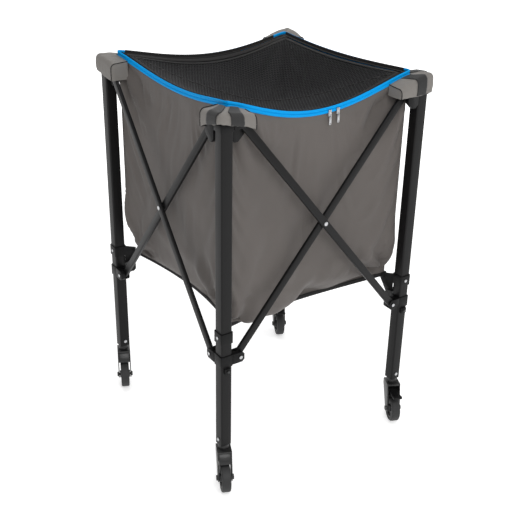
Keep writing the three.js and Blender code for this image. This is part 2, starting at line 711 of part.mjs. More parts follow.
// Net lid: a cloth border round a field of square gaps
function lidShape() {
  const list = [];
  const n = LID_CELLS;
  const far = HEM_SHARE - HEM_GAP_SHARE;
  const at = (i, j) => lidPoint(place(i, n), ((far + 1) * j) / n - 1);
  const face = (a, b, c, d) => {
    quad(list, a, b, c, d);
    quad(list, lower(a, LID_THICK), lower(d, LID_THICK), lower(c, LID_THICK), lower(b, LID_THICK));
  };
  const side = (a, b) => quad(list, lower(a, LID_THICK), lower(b, LID_THICK), b, a);
  const e = STRAND_SHARE;
  for (let j = 0; j < n; j += 1) {
    for (let i = 0; i < n; i += 1) {
      const p = [at(i, j), at(i + 1, j), at(i + 1, j + 1), at(i, j + 1)];
      if (i === 0 || j === 0 || i === n - 1 || j === n - 1) {
        face(...p);
      } else {
        const q = [at(i + e, j + e), at(i + 1 - e, j + e), at(i + 1 - e, j + 1 - e), at(i + e, j + 1 - e)];
        for (let k = 0; k < 4; k += 1) {
          const m = (k + 1) % 4;
          face(p[k], p[m], q[m], q[k]);
          side(q[m], q[k]);
        }
      }
    }
  }
  for (let i = 0; i < n; i += 1) {
    side(at(i, 0), at(i + 1, 0));
    side(at(n, i), at(n, i + 1));
    side(at(n - i, n), at(n - i - 1, n));
    side(at(0, n - i), at(0, n - i - 1));
  }
  const geometry = new THREE.BufferGeometry();
  geometry.setAttribute("position", new THREE.BufferAttribute(new Float32Array(list), 3));
  return mergeVertices(geometry, WELD);
}

// Rear hem that the lid swings from
function hemShape() {
  const top = [];
  const under = [];
  for (const t of [HEM_SHARE, 1]) {
    const row = [];
    for (let i = 0; i <= LID_CELLS; i += 1) {
      row.push(lidPoint(place(i, LID_CELLS), t));
    }
    top.push(row);
    under.push(row.map((p) => lower(p, LID_THICK)));
  }
  return shell(top, under);
}

// Bag floor panel
function floorShape() {
  const top = [];
  const under = [];
  const reach = (u) => wallReach(0, u);
  const drop = (u) => BAG_LOW_SAG * (1 - u * u);
  for (let j = 0; j <= FLOOR_CELLS; j += 1) {
    const t = place(j, FLOOR_CELLS);
    const row = [];
    for (let i = 0; i <= FLOOR_CELLS; i += 1) {
      const s = place(i, FLOOR_CELLS);
      const z = BAG_LOW - GAP - drop(s) - drop(t) - FLOOR_SAG * (1 - s * s) * (1 - t * t);
      row.push([s * reach(t), t * reach(s), z]);
    }
    top.push(row);
    under.push(row.map((p) => lower(p, CLOTH)));
  }
  return shell(top, under);
}

// Zip pull: a small plate with a hole, hung from the front rim
function pullShape() {
  const w = half(PULL_WIDTH);
  const made = block(-w, w, -PULL_THICK, 0, -PULL_LENGTH, 0);
  return made.subtract(rodY(PULL_HOLE_R, -PULL_THICK - RUN_OUT, RUN_OUT, 0, -w, SMALL_FACETS));
}

const cart = new THREE.Group();

// Adds a named mesh to a parent
function put(parent, name, geometry, look) {
  const mesh = new THREE.Mesh(geometry, new THREE.MeshStandardMaterial(look));
  mesh.name = name;
  parent.add(mesh);
  return mesh;
}

// Legs and all that a corner carries, turned a quarter for each corner
const corners = [
  ["front_left", -1, -1, 0, 0, SAG_FRONT, SAG_LEFT],
  ["front_right", 1, -1, 1, 0, SAG_RIGHT, SAG_FRONT],
  ["back_right", 1, 1, 2, 2, SAG_BACK, SAG_RIGHT],
  ["back_left", -1, 1, 3, 2, SAG_LEFT, SAG_BACK],
];
for (const [name, sx, sy, turns, buttonTurns, sagX, sagY] of corners) {
  const corner = new THREE.Group();
  corner.position.set(sx * HALF_SPAN, sy * HALF_SPAN, 0);
  cart.add(corner);
  const quartered = (made) => geometryOf(made.rotate([0, 0, turns * QUARTER]));
  const buttonSide = (buttonTurns - turns) * QUARTER;
  put(corner, "leg_" + name, geometryOf(legShape()), BLACK_METAL);
  put(corner, "head_" + name, quartered(headShape()), BLACK_PLASTIC);
  put(corner, "cap_" + name, quartered(capShape(sagX, sagY)), CAP_GREY);
  put(corner, "bracket_" + name, quartered(bracketShape()), BLACK_PLASTIC);
  put(corner, "slider_" + name, quartered(sliderShape(buttonSide)), BLACK_PLASTIC);
  put(corner, "snap_button_" + name, quartered(buttonShape(buttonSide)), ZINC);
  const caster = new THREE.Group();
  caster.rotation.z = (CASTER_TURN * quarterTurns(1)) / QUARTER;
  corner.add(caster);
  put(caster, "fork_" + name, geometryOf(forkShape()), BLACK_METAL);
  const wheel = new THREE.Group();
  wheel.position.set(0, -TRAIL, WHEEL_R);
  caster.add(wheel);
  put(wheel, "tyre_" + name, geometryOf(tyreShape()), TYRE_GREY);
  put(wheel, "wheel_core_" + name, geometryOf(coreShape()), HUB_GREY);
  if (sx > 0) {
    put(caster, "brake_pedal_" + name, geometryOf(pedalShape()), BLACK_PLASTIC);
  }
}

// Scissor sides, each with an outer and an inner bar and a centre rivet
const tilt = Math.atan2(PIVOT_TOP - PIVOT_LOW, HALF_SPAN + HALF_SPAN - PIVOT_IN - PIVOT_IN);
const sides = [
  ["front", 0, SAG_FRONT],
  ["right", 1, SAG_RIGHT],
  ["back", 2, SAG_BACK],
  ["left", 3, SAG_LEFT],
];
const walls = new THREE.Group();
cart.add(walls);
for (const [name, turns, sag] of sides) {
  const plane = new THREE.Group();
  plane.rotation.z = quarterTurns(turns);
  cart.add(plane);
  const middle = new THREE.Group();
  middle.position.set(0, -HALF_SPAN - BAR_SHIFT, half(PIVOT_TOP + PIVOT_LOW));
  plane.add(middle);
  const outer = put(middle, "bar_outer_" + name, barShape(), BLACK_METAL);
  outer.position.y = -BAR_OFFSET;
  outer.rotation.y = tilt;
  const inner = put(middle, "bar_inner_" + name, barShape(), BLACK_METAL);
  inner.position.y = BAR_OFFSET;
  inner.rotation.y = -tilt;
  put(middle, "centre_rivet_" + name, centreRivetShape(), ZINC);
  put(plane, "bag_wall_" + name, wallShape(sag), CLOTH_GREY);
}

// Floor, lid, hem and zip pulls
put(cart, "bag_floor", floorShape(), CLOTH_GREY);
put(cart, "lid_net", lidShape(), NET_BLACK);
put(cart, "lid_hem", hemShape(), CLOTH_GREY);
const pullNames = ["zip_pull_left", "zip_pull_right"];
PULL_PLACE_SHARES.forEach((u, i) => {
  const x = u * wallReach(1, 1);
  const pull = put(cart, pullNames[i], geometryOf(pullShape()), ZINC);
  pull.position.set(x, -wallReach(1, u) - PULL_CLEAR, rimZ(SAG_FRONT, u) - PULL_DROP);
  const rise = DRAW_SHARE * (rimZ(SAG_FRONT, u) - BAG_LOW);
  pull.rotation.x = -PULL_LEAN_SHARE * Math.atan2(RIM_DRAW * (1 - u * u), rise);
});

export default cart;
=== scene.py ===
"""Ball cart: a black folding frame on casters, a grey cloth bag, a zipped net lid and corner pockets.

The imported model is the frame. Each section dresses one kind of piece around it, in metres.
"""

import math

import bmesh
import bpy
from mathutils import Matrix, Vector, noise


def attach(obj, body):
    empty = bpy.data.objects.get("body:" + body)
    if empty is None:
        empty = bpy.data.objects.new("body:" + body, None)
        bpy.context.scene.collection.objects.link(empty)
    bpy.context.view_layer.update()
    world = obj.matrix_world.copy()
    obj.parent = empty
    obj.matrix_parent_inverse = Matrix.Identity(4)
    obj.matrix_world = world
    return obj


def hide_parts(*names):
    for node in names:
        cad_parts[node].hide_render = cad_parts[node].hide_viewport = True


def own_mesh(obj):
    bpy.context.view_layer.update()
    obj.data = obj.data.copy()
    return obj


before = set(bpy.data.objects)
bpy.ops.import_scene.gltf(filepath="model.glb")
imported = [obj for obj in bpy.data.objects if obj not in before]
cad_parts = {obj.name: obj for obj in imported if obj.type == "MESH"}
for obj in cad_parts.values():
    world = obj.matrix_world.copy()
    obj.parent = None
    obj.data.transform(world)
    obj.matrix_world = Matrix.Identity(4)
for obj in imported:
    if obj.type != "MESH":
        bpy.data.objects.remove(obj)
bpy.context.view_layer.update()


# Camera
# The photographer stood in front and to the left, a little above the rim, with a short telephoto lens.
AZIMUTH = math.radians(-34.541)
ELEVATION = math.radians(26.3025)
ROLL = math.radians(1.1856)
LENS = 63.78
SENSOR = 36.0
FAR_CLIP = 50
STAND = (-1.2748, -1.8706, 1.5628)

away = Vector(
    (
        math.sin(AZIMUTH) * math.cos(ELEVATION),
        -math.cos(AZIMUTH) * math.cos(ELEVATION),
        math.sin(ELEVATION),
    )
)
level_right = Vector((math.cos(AZIMUTH), math.sin(AZIMUTH), 0))
level_up = away.cross(level_right)
right = level_right * math.cos(ROLL) + level_up * math.sin(ROLL)
up = level_up * math.cos(ROLL) - level_right * math.sin(ROLL)
bpy.ops.object.camera_add()
camera = bpy.context.object
camera.name = "camera"
camera.data.lens = LENS
camera.data.sensor_width = SENSOR
camera.data.clip_end = FAR_CLIP
camera.matrix_world = Matrix(
    (
        (right.x, up.x, away.x, STAND[0]),
        (right.y, up.y, away.y, STAND[1]),
        (right.z, up.z, away.z, STAND[2]),
        (0, 0, 0, 1),
    )
)
bpy.context.scene.camera = camera
bpy.context.scene.view_settings.view_transform = "Standard"


# Studio
# A plain pale floor under four large soft lamps, with an even white room behind.
LAMPS = (
    ("key_lamp", (-1.1, -3.0, 2.9), 2.2, 78.0),
    ("fill_lamp", (2.8, -1.6, 2.2), 2.4, 26.0),
    ("top_lamp", (0.2, 0.4, 3.6), 3.0, 46.0),
    ("back_lamp", (1.2, 3.0, 2.4), 2.0, 26.0),
)
AIM = Vector((0, 0, 0.55))
FLOOR_SIZE = 14.0
PAPER_TONE = 0.86
GLOW_RUN = (1.2, 3.2)
GLOW = (0.46, 1.0)
ROOM_LIGHT = 0.40
WHITE = (1, 1, 1, 1)


def dial(node, **values):
    """Sets a node's inputs by name, with underscores where a name has spaces."""
    for name, value in values.items():
        node.inputs[name.replace("_", " ")].default_value = value


def wire(*joins):
    """Links nodes, each join given as a node, its output, the next node and that one's input."""
    for node, out, after, into in joins:
        node.id_data.links.new(node.outputs[out], after.inputs[into])


for name, place_at, size, power in LAMPS:
    bpy.ops.object.light_add(type="AREA", location=place_at)
    lamp = bpy.context.object
    lamp.name = name
    lamp.data.size = size
    lamp.data.energy = power
    lamp.rotation_euler = (Vector(place_at) - AIM).to_track_quat("Z", "Y").to_euler()

bpy.ops.mesh.primitive_plane_add(size=FLOOR_SIZE, location=(0, 0, 0))
floor = bpy.context.object
floor.name = "studio_floor"
floor_paper = bpy.data.materials.new("floor_paper")
floor_paper.use_nodes = True
tree = floor_paper.node_tree
paper = tree.nodes["Principled BSDF"]
dial(paper, Base_Color=(PAPER_TONE, PAPER_TONE, PAPER_TONE, 1), Roughness=0.9, Specular_IOR_Level=0.2)
glow = tree.nodes.new("ShaderNodeEmission")
dial(glow, Color=WHITE)
spot = tree.nodes.new("ShaderNodeTexCoord")
length = tree.nodes.new("ShaderNodeVectorMath")
length.operation = "LENGTH"
bright_far = tree.nodes.new("ShaderNodeMapRange")
dial(bright_far, From_Min=GLOW_RUN[0], From_Max=GLOW_RUN[1], To_Min=GLOW[0], To_Max=GLOW[1])
added = tree.nodes.new("ShaderNodeAddShader")
wire(
    (spot, "Object", length, 0),
    (length, "Value", bright_far, "Value"),
    (bright_far, "Result", glow, "Strength"),
    (paper, "BSDF", added, 0),
    (glow, "Emission", added, 1),
    (added, "Shader", tree.nodes["Material Output"], "Surface"),
)
floor.data.materials.append(floor_paper)

room = bpy.data.worlds.new("room")
bpy.context.scene.world = room
room.use_nodes = True
tree = room.node_tree
tree.nodes.clear()
path = tree.nodes.new("ShaderNodeLightPath")
seen = tree.nodes.new("ShaderNodeMath")
seen.operation = "MAXIMUM"
dim = tree.nodes.new("ShaderNodeBackground")
dial(dim, Color=WHITE, Strength=ROOM_LIGHT)
bright = tree.nodes.new("ShaderNodeBackground")
dial(bright, Color=WHITE, Strength=1.0)
either = tree.nodes.new("ShaderNodeMixShader")
world_out = tree.nodes.new("ShaderNodeOutputWorld")
wire(
    (path, "Is Camera Ray", seen, 0),
    (path, "Is Transmission Ray", seen, 1),
    (seen, 0, either, 0),
    (dim, 0, either, 1),
    (bright, 0, either, 2),
    (either, 0, world_out, "Surface"),
)


# Leg tubes
# Four square tubes of rolled steel, 30 mm on a side and powder coated black. Each has a plugged foot that
# takes a caster stem.
SPAN = 0.28
LEG_SIDE = 0.0296
LEG_LOW = 0.1232
LEG_TOP = 0.9735
LEG_ROUND = 0.0040
PLUG_RIM = 0.0016
PLUG_DEPTH = 0.002
SHARP = math.radians(32)
CORNERS = {
    "front_left": (-1, -1, 0),
    "front_right": (1, -1, 1),
    "back_right": (1, 1, 2),
    "back_left": (-1, 1, 3),
}


def only(piece):
    """Selects one object and nothing else."""
    for other in bpy.context.selected_objects:
        other.select_set(False)
    piece.select_set(True)
    bpy.context.view_layer.objects.active = piece


def pick(piece, kind, wanted):
    """Enters edit mode with the faces or edges chosen by a test of middle and direction."""
    only(piece)
    bpy.ops.object.mode_set(mode="EDIT")
    bpy.ops.mesh.select_mode(type=kind)
    bpy.ops.mesh.select_all(action="DESELECT")
    shape = bmesh.from_edit_mesh(piece.data)
    if kind == "FACE":
        for face in shape.faces:
            face.select = wanted(face.calc_center_median(), face.normal)
    else:
        for edge in shape.edges:
            a, b = (v.co for v in edge.verts)
            edge.select = wanted((a + b) / 2, (b - a).normalized())
    shape.select_flush_mode()
    bmesh.update_edit_mesh(piece.data)


def settle(piece):
    """Puts the piece's place into its mesh."""
    only(piece)
    bpy.ops.object.transform_apply(location=True, rotation=True, scale=True)


def soften(piece, width, segments=2, angle=35):
    """Rounds the sharp edges and smooths what lies between."""
    only(piece)
    bevel = piece.modifiers.new("edge", "BEVEL")
    bevel.width = width
    bevel.segments = segments
    bevel.limit_method = "ANGLE"
    bevel.angle_limit = math.radians(angle)
    bevel.use_clamp_overlap = True
    bpy.ops.object.modifier_apply(modifier="edge")
    bpy.ops.object.shade_smooth_by_angle(angle=SHARP)


def paint(piece, *finishes):
    """Gives a piece its materials in slot order."""
    piece.data.materials.clear()
    for coat in finishes:
        piece.data.materials.append(coat)


# Every coated, moulded or woven finish has patches of uneven tone and a fine grain
tone_group = bpy.data.node_groups.new("uneven_tone", "ShaderNodeTree")
for socket, kind in (
    ("Vector", "Vector"), ("Colour", "Color"), ("Patch Scale", "Float"), ("Patch Depth", "Float"),
    ("Grain Scale", "Float"),
):
    tone_group.interface.new_socket(socket, in_out="INPUT", socket_type="NodeSocket" + kind)
for socket, kind in (("Colour", "Color"), ("Patch", "Float"), ("Grain", "Float")):
    tone_group.interface.new_socket(socket, in_out="OUTPUT", socket_type="NodeSocket" + kind)
nodes = tone_group.nodes
entry = nodes.new("NodeGroupInput")
leave = nodes.new("NodeGroupOutput")
patch = nodes.new("ShaderNodeTexNoise")
dial(patch, Detail=4)
grain = nodes.new("ShaderNodeTexNoise")
dial(grain, Detail=2)
centred = nodes.new("ShaderNodeMath")
centred.operation = "SUBTRACT"
centred.inputs[1].default_value = 0.5
scaled = nodes.new("ShaderNodeMath")
scaled.operation = "MULTIPLY_ADD"
scaled.inputs[2].default_value = 1.0
tinted = nodes.new("ShaderNodeMix")
tinted.data_type = "RGBA"
tinted.blend_type = "MULTIPLY"
dial(tinted, Factor=1.0)
wire(
    (entry, "Vector", patch, "Vector"),
    (entry, "Patch Scale", patch, "Scale"),
    (entry, "Vector", grain, "Vector"),
    (entry, "Grain Scale", grain, "Scale"),
    (patch, "Fac", centred, 0),
    (centred, 0, scaled, 0),
    (entry, "Patch Depth", scaled, 1),
    (entry, "Colour", tinted, "A"),
    (scaled, 0, tinted, "B"),
    (tinted, "Result", leave, "Colour"),
    (patch, "Fac", leave, "Patch"),
    (grain, "Fac", leave, "Grain"),
)


def finish(name, colour, roughness, patches, grain, swing=0.1, metal=0.0, specular=0.5):
    """An uneven finish. Patches are a scale and a depth, grain is a scale, a strength and a depth in mm."""
    made = bpy.data.materials.new(name)
    made.use_nodes = True
    tree = made.node_tree
    shader = tree.nodes["Principled BSDF"]
    place = tree.nodes.new("ShaderNodeTexCoord")
    group = tree.nodes.new("ShaderNodeGroup")
    group.node_tree = tone_group
    dial(group, Colour=(*colour, 1), Patch_Scale=patches[0], Patch_Depth=patches[1], Grain_Scale=grain[0])
    gloss = tree.nodes.new("ShaderNodeMapRange")
    dial(gloss, To_Min=roughness - swing, To_Max=roughness + swing)
    relief = tree.nodes.new("ShaderNodeBump")
    dial(relief, Strength=grain[1], Distance=grain[2] / 1000)
    wire(
        (place, "Object", group, "Vector"),
        (group, "Colour", shader, "Base Color"),
        (group, "Patch", gloss, "Value"),
        (gloss, "Result", shader, "Roughness"),
        (group, "Grain", relief, "Height"),
        (relief, "Normal", shader, "Normal"),
    )
    dial(shader, Metallic=metal, Specular_IOR_Level=specular)
    return made


# Black powder coat with a faint maroon tint. The tint is a painted reflection of a reddish colour cast.
powder_coat_with_reflected_tint = finish(
    "black_powder_coat", (0.0060, 0.0058, 0.0060), 0.40, (5.0, 0.5), (700.0, 0.5, 0.08), 0.08, specular=0.16
)
for corner, (sx, sy, turns) in CORNERS.items():
    bpy.ops.mesh.primitive_cube_add(size=1, location=(sx * SPAN, sy * SPAN, (LEG_LOW + LEG_TOP) / 2))
    tube = bpy.context.object
    tube.name = "leg_tube_" + corner
    tube.scale = (LEG_SIDE, LEG_SIDE, LEG_TOP - LEG_LOW)
    settle(tube)
    pick(tube, "EDGE", lambda middle, along: abs(along.z) > 0.9)
    bpy.ops.mesh.bevel(offset=LEG_ROUND, segments=5)
    bpy.ops.object.mode_set(mode="OBJECT")
    pick(tube, "FACE", lambda middle, normal: normal.z < -0.9)
    bpy.ops.mesh.inset(thickness=PLUG_RIM)
    bpy.ops.mesh.extrude_region_move(TRANSFORM_OT_translate={"value": (0, 0, PLUG_DEPTH)})
    bpy.ops.object.mode_set(mode="OBJECT")
    bpy.ops.object.shade_smooth_by_angle(angle=SHARP)
    paint(tube, powder_coat_with_reflected_tint)
    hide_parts("leg_" + corner)
    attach(tube, "corner_" + corner)


# Scissor bars
# Two flat oval bars cross on each side and are pinned at the middle. They are rolled steel, powder coated
# like the legs.
PIVOT_IN = 0.038
PIVOT_TOP = 0.957
PIVOT_LOW = 0.371
BAR_WIDTH = 0.019
BAR_THICK = 0.009
BAR_EDGE = 0.0026
BAR_OFFSET = 0.005
BAR_SHIFT = 0.0045
BAR_RUN = 2 * (SPAN - PIVOT_IN)
BAR_LENGTH = math.hypot(BAR_RUN, PIVOT_TOP - PIVOT_LOW)
BAR_TILT = math.atan2(PIVOT_TOP - PIVOT_LOW, BAR_RUN)
SIDES = {
    "front": (0, "outer"),
    "right": (1, "outer"),
    "back": (2, "inner"),
    "left": (3, "inner"),
}


def quarter(turns):
    """Turn about the upright axis by a number of quarters."""
    return Matrix.Rotation(math.radians(90 * turns), 4, "Z")


for side, (turns, main) in SIDES.items():
    for kind, sign in (("outer", 1), ("inner", -1)):
        bpy.ops.mesh.primitive_cube_add(size=1)
        bar = bpy.context.object
        bar.name = f"scissor_bar_{kind}_{side}"
        bar.scale = (BAR_LENGTH + BAR_WIDTH, BAR_THICK, BAR_WIDTH)
        settle(bar)
        pick(bar, "EDGE", lambda middle, along: abs(along.y) > 0.9)
        bpy.ops.mesh.bevel(offset=BAR_WIDTH * 0.495, segments=8)
        bpy.ops.object.mode_set(mode="OBJECT")
        soften(bar, BAR_EDGE, 3, 40)
        bar.matrix_world = (
            quarter(turns)
            @ Matrix.Translation((0, -SPAN - BAR_SHIFT - sign * BAR_OFFSET, (PIVOT_TOP + PIVOT_LOW) / 2))
            @ Matrix.Rotation(sign * BAR_TILT, 4, "Y")
        )
        settle(bar)
        paint(bar, powder_coat_with_reflected_tint)
        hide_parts(f"bar_{kind}_{side}")
        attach(bar, ("bar_main_" if kind == main else "bar_cross_") + side)


# Moulded fittings
# Heads, fixed brackets and sliders are black glass-filled nylon, moulded with ears that hold the bar ends.
# The brake pedals are the same.
moulding = finish(
    "black_nylon", (0.0045, 0.0045, 0.0047), 0.44, (20.0, 0.5), (1400.0, 0.6, 0.1), 0.08, specular=0.14
)
THICK_EDGE = 0.0011
THIN_EDGE = 0.0009
FINE_EDGE = 0.0005
WELD = 0.00002
FLAT = math.radians(2)


def moulded(node, name, body, width, coat):
    """A copy of a CAD node with its edges rounded."""
    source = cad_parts[node]
    piece = bpy.data.objects.new(name, source.data.copy())
    bpy.context.scene.collection.objects.link(piece)
    only(piece)
    bpy.ops.object.mode_set(mode="EDIT")
    bpy.ops.mesh.select_all(action="SELECT")
    bpy.ops.mesh.remove_doubles(threshold=WELD)
    bpy.ops.mesh.dissolve_limited(angle_limit=FLAT)
    bpy.ops.object.mode_set(mode="OBJECT")
    soften(piece, width, 2, 28)
    paint(piece, coat)
    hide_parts(node)
    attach(piece, body)
    return piece


HEAD_CUT = 0.9745
for corner in CORNERS:
    post = "corner_" + corner
    head = moulded("head_" + corner, "head_fitting_" + corner, post, THICK_EDGE, moulding)
    only(head)
    bpy.ops.object.mode_set(mode="EDIT")
    bpy.ops.mesh.select_all(action="SELECT")
    bpy.ops.mesh.bisect(plane_co=(0, 0, HEAD_CUT), plane_no=(0, 0, 1), clear_outer=True, use_fill=True)
    bpy.ops.object.mode_set(mode="OBJECT")
    moulded("bracket_" + corner, "fixed_bracket_" + corner, post, THIN_EDGE, moulding)
    node = "slider_" + corner
    moulded(node, "sliding_collar_" + corner, node, THICK_EDGE, moulding)
for corner in ("front_right", "back_right"):
    node = "brake_pedal_" + corner
    moulded(node, "brake_tread_" + corner, node, THIN_EDGE, moulding)


# Rivets and snap buttons
# Domed rivets of zinc plated steel go through the legs and ears. A sprung stud of blackened steel on each
# slider locks the frame open.
zinc = finish("zinc_plate", (0.46, 0.465, 0.475), 0.34, (60.0, 0.25), (500.0, 0.3, 0.05), 0.1, 0.95)
blackened = finish("blackened_steel", (0.035, 0.035, 0.036), 0.4, (60.0, 0.25), (500.0, 0.3, 0.05), 0.1, 0.6)
RIVET_R = 0.0046
SMALL_RIVET_R = 0.0042
SMALL_RIVET_HEIGHT = 0.0016
EAR_FACE = 0.0181
FOOT_FACE = 0.0156
BRACKET_FACE = 0.0176
BRACKET_HEIGHT = 0.433
FOOT_HEIGHT = LEG_LOW + 0.015
STUD_EDGE = 0.0012
CROSSING_EDGE = 0.0007


def rivet(centre, normal, radius=RIVET_R, height=0.0024):
    """One domed rivet head standing on a face."""
    bpy.ops.mesh.primitive_cylinder_add(vertices=24, radius=radius, depth=height)
    head = bpy.context.object
    pick(head, "FACE", lambda middle, facing: facing.z > 0.9)
    bpy.ops.mesh.inset(thickness=radius * 0.35)
    bpy.ops.mesh.extrude_region_move(TRANSFORM_OT_translate={"value": (0, 0, height * 0.3)})
    bpy.ops.mesh.inset(thickness=radius * 0.3)
    bpy.ops.object.mode_set(mode="OBJECT")
    soften(head, radius * 0.16, 2, 20)
    turn = Vector(normal).to_track_quat("Z", "Y").to_matrix().to_4x4()
    head.matrix_world = Matrix.Translation(centre) @ turn
    settle(head)
    return head


def joined(name, parts):
    """Several solids as one object."""
    only(parts[0])
    for part in parts[1:]:
        part.select_set(True)
    bpy.ops.object.join()
    parts[0].name = name
    return parts[0]


for corner, (sx, sy, turns) in CORNERS.items():
    hub = Matrix.Translation((sx * SPAN, sy * SPAN, 0)) @ quarter(turns)
    spin = quarter(turns).to_3x3()
    groups = []
    for name, body, height in (("head", "corner_", PIVOT_TOP), ("collar", "slider_", PIVOT_LOW)):
        on_ears = [
            rivet(hub @ Vector((PIVOT_IN, -EAR_FACE, height)), spin @ Vector((0, -1, 0))),
            rivet(hub @ Vector((-EAR_FACE, PIVOT_IN, height)), spin @ Vector((-1, 0, 0))),
        ]
        groups.append((name, body, on_ears))
    x, y = sx * SPAN, sy * SPAN
    foot = Vector((x, y, FOOT_HEIGHT))
    through = Vector((1, 0, 0)) if corner == "front_left" else Vector((0, 1, 0))
    small = (SMALL_RIVET_R, SMALL_RIVET_HEIGHT)
    on_leg = [
        rivet(foot + through * FOOT_FACE, through),
        rivet(foot - through * FOOT_FACE, -through),
        rivet((x + sx * BRACKET_FACE, y, BRACKET_HEIGHT), (sx, 0, 0), *small),
    ]
    if corner != "front_left":
        on_leg.append(rivet((x, y + sy * BRACKET_FACE, BRACKET_HEIGHT), (0, sy, 0), *small))
    groups.append(("leg", "corner_", on_leg))
    for name, body, parts in groups:
        piece = joined(f"{name}_rivets_{corner}", parts)
        paint(piece, zinc)
        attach(piece, body + corner)
    node = "snap_button_" + corner
    moulded(node, "snap_stud_" + corner, node, STUD_EDGE, blackened)
for side in SIDES:
    node = "centre_rivet_" + side
    moulded(node, "crossing_rivet_" + side, "bar_main_" + side, CROSSING_EDGE, zinc)


# Casters
# Each caster has a pressed black steel fork, a moulded wheel core and a dark rubber tyre. A curved hood
# between the fork's cheeks covers the wheel. Over a braked wheel it stops below the pedal.
fork_coat = finish("fork_coat", (0.007, 0.007, 0.0072), 0.38, (15.0, 0.5), (800.0, 0.4, 0.06), 0.08)
tyre_rubber = finish("tyre_rubber", (0.014, 0.014, 0.0143), 0.62, (40.0, 0.4), (900.0, 0.5, 0.1))
core_plastic = finish("wheel_core_plastic", (0.02, 0.02, 0.021), 0.5, (30.0, 0.3), (900.0, 0.3, 0.05), 0.08)
WHEEL_R = 0.0375
WHEEL_W = 0.024
TRAIL = 0.031
CASTER_TURN = math.radians(-24.5)
TYRE_IN = 0.0269
TYRE_SHOULDER = 0.0044
RIM_R = 0.0266
RIM_WIDTH = 0.022
RIM_STEPS = ((0.003, -0.005), (0.013, 0.009), (0.004, -0.001))
HOOD_HALF = 0.0158
HOOD_SKIN = 0.0020
HOOD_CROWN = 0.0012
HOOD_FULL = (
    (-0.0128, 0.1080), (-0.0170, 0.1068), (-0.0225, 0.1030), (-0.0270, 0.0975), (-0.0310, 0.0905),
    (-0.0335, 0.0840), (-0.0345, 0.0790),
)
HOOD_LOW = ((-0.0118, 0.0780), (-0.0165, 0.0792), (-0.0220, 0.0798), (-0.0275, 0.0796), (-0.0330, 0.0785))

for corner, (sx, sy, turns) in CORNERS.items():
    moulded("fork_" + corner, "caster_fork_" + corner, "fork_" + corner, THIN_EDGE, fork_coat)
    stem = Matrix.Translation((sx * SPAN, sy * SPAN, 0)) @ Matrix.Rotation(CASTER_TURN, 4, "Z")
    axle = stem @ Matrix.Translation((0, -TRAIL, WHEEL_R)) @ Matrix.Rotation(math.radians(90), 4, "Y")
    bpy.ops.mesh.primitive_cylinder_add(vertices=64, radius=WHEEL_R, depth=WHEEL_W)
    tyre = bpy.context.object
    tyre.name = "tyre_tread_" + corner
    pick(tyre, "FACE", lambda middle, facing: abs(facing.z) > 0.9)
    bpy.ops.mesh.inset(thickness=WHEEL_R - TYRE_IN)
    bpy.ops.mesh.bridge_edge_loops()
    bpy.ops.object.mode_set(mode="OBJECT")
    soften(tyre, TYRE_SHOULDER, 4, 50)
    tyre.matrix_world = axle
    settle(tyre)
    paint(tyre, tyre_rubber)
    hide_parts("tyre_" + corner)
    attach(tyre, "wheel_" + corner)
    bpy.ops.mesh.primitive_cylinder_add(vertices=48, radius=RIM_R, depth=RIM_WIDTH)
    core = bpy.context.object
    core.name = "wheel_disc_" + corner
    for toward in (1, -1):
        pick(core, "FACE", lambda middle, facing: facing.z * toward > 0.9)
        for inset, rise in RIM_STEPS:
            bpy.ops.mesh.inset(thickness=inset)
            bpy.ops.mesh.extrude_region_move(TRANSFORM_OT_translate={"value": (0, 0, toward * rise)})
        bpy.ops.object.mode_set(mode="OBJECT")
    soften(core, FINE_EDGE, 2, 30)
    core.matrix_world = axle
    settle(core)
    paint(core, core_plastic)
    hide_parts("wheel_core_" + corner)
    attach(core, "wheel_" + corner)
    profile = HOOD_LOW if sx > 0 else HOOD_FULL
    last = len(profile) - 1
    bpy.ops.mesh.primitive_grid_add(x_subdivisions=8, y_subdivisions=3 * last, size=2)
    hood = bpy.context.object
    hood.name = "caster_hood_" + corner
    for vertex in hood.data.vertices:
        across = vertex.co.x
        run = (vertex.co.y + 1) / 2 * last
        step = min(int(run + 1e-6), last - 1)
        part = run - step
        (y0, z0), (y1, z1) = profile[step], profile[step + 1]
        crown = HOOD_CROWN * (1 - across**2)
        vertex.co = (across * HOOD_HALF, y0 + (y1 - y0) * part - crown, z0 + (z1 - z0) * part)
    only(hood)
    skin = hood.modifiers.new("skin", "SOLIDIFY")
    skin.thickness = HOOD_SKIN
    skin.offset = 0
    bpy.ops.object.modifier_apply(modifier="skin")
    soften(hood, FINE_EDGE, 2, 60)
    hood.matrix_world = stem
    settle(hood)
    paint(hood, fork_coat)
    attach(hood, "fork_" + corner)


# Bag walls
# Four walls of coated polyester, sewn to one another at the corners. Their rims sag between the corners and
# their feet are drawn in. The front one bags below its foot seam near the left.
CLOTH = 0.0024
BAG_HALF = 0.262
FOOT_HALF = 0.241
BAG_LOW = 0.430
LOW_SAG = 0.012
BAG_TOP = 0.990
RIM_DRAW = 0.017
RIM_CURVE = 1.35
CORNER_ROUND = 0.012
BACK_DROP = 0.009
FOOT_SPREAD = 0.020
SPREAD_RISE = 0.20
FOOT_SLACK = 0.045
SLACK_OUT = 0.010
SLACK_RISE = 0.14
SLACK_END = 0.0
FOOT_DRAW = 0.042
FLANGE = 0.006
FLANGE_CORNER = 0.004
FOOT_SHARE = 0.28
FOOT_RISE = 0.235
DRAW_SHARE = 0.3
WALL_SHARE = 0.86
SAGS = {"front": 0.062, "right": 0.006, "back": 0.032, "left": 0.030}
WALL_BODY = {
    "front": ("corner_front_left", (1, 0, 0), (-SPAN, -SPAN, 0)),
    "left": ("corner_back_left", (0, 1, 0), (-SPAN, SPAN, 0)),
    "right": ("corner_front_right", (0, 1, 0), (SPAN, -SPAN, 0)),
    "back": ("corner_back_right", (1, 0, 0), (SPAN, SPAN, 0)),
}
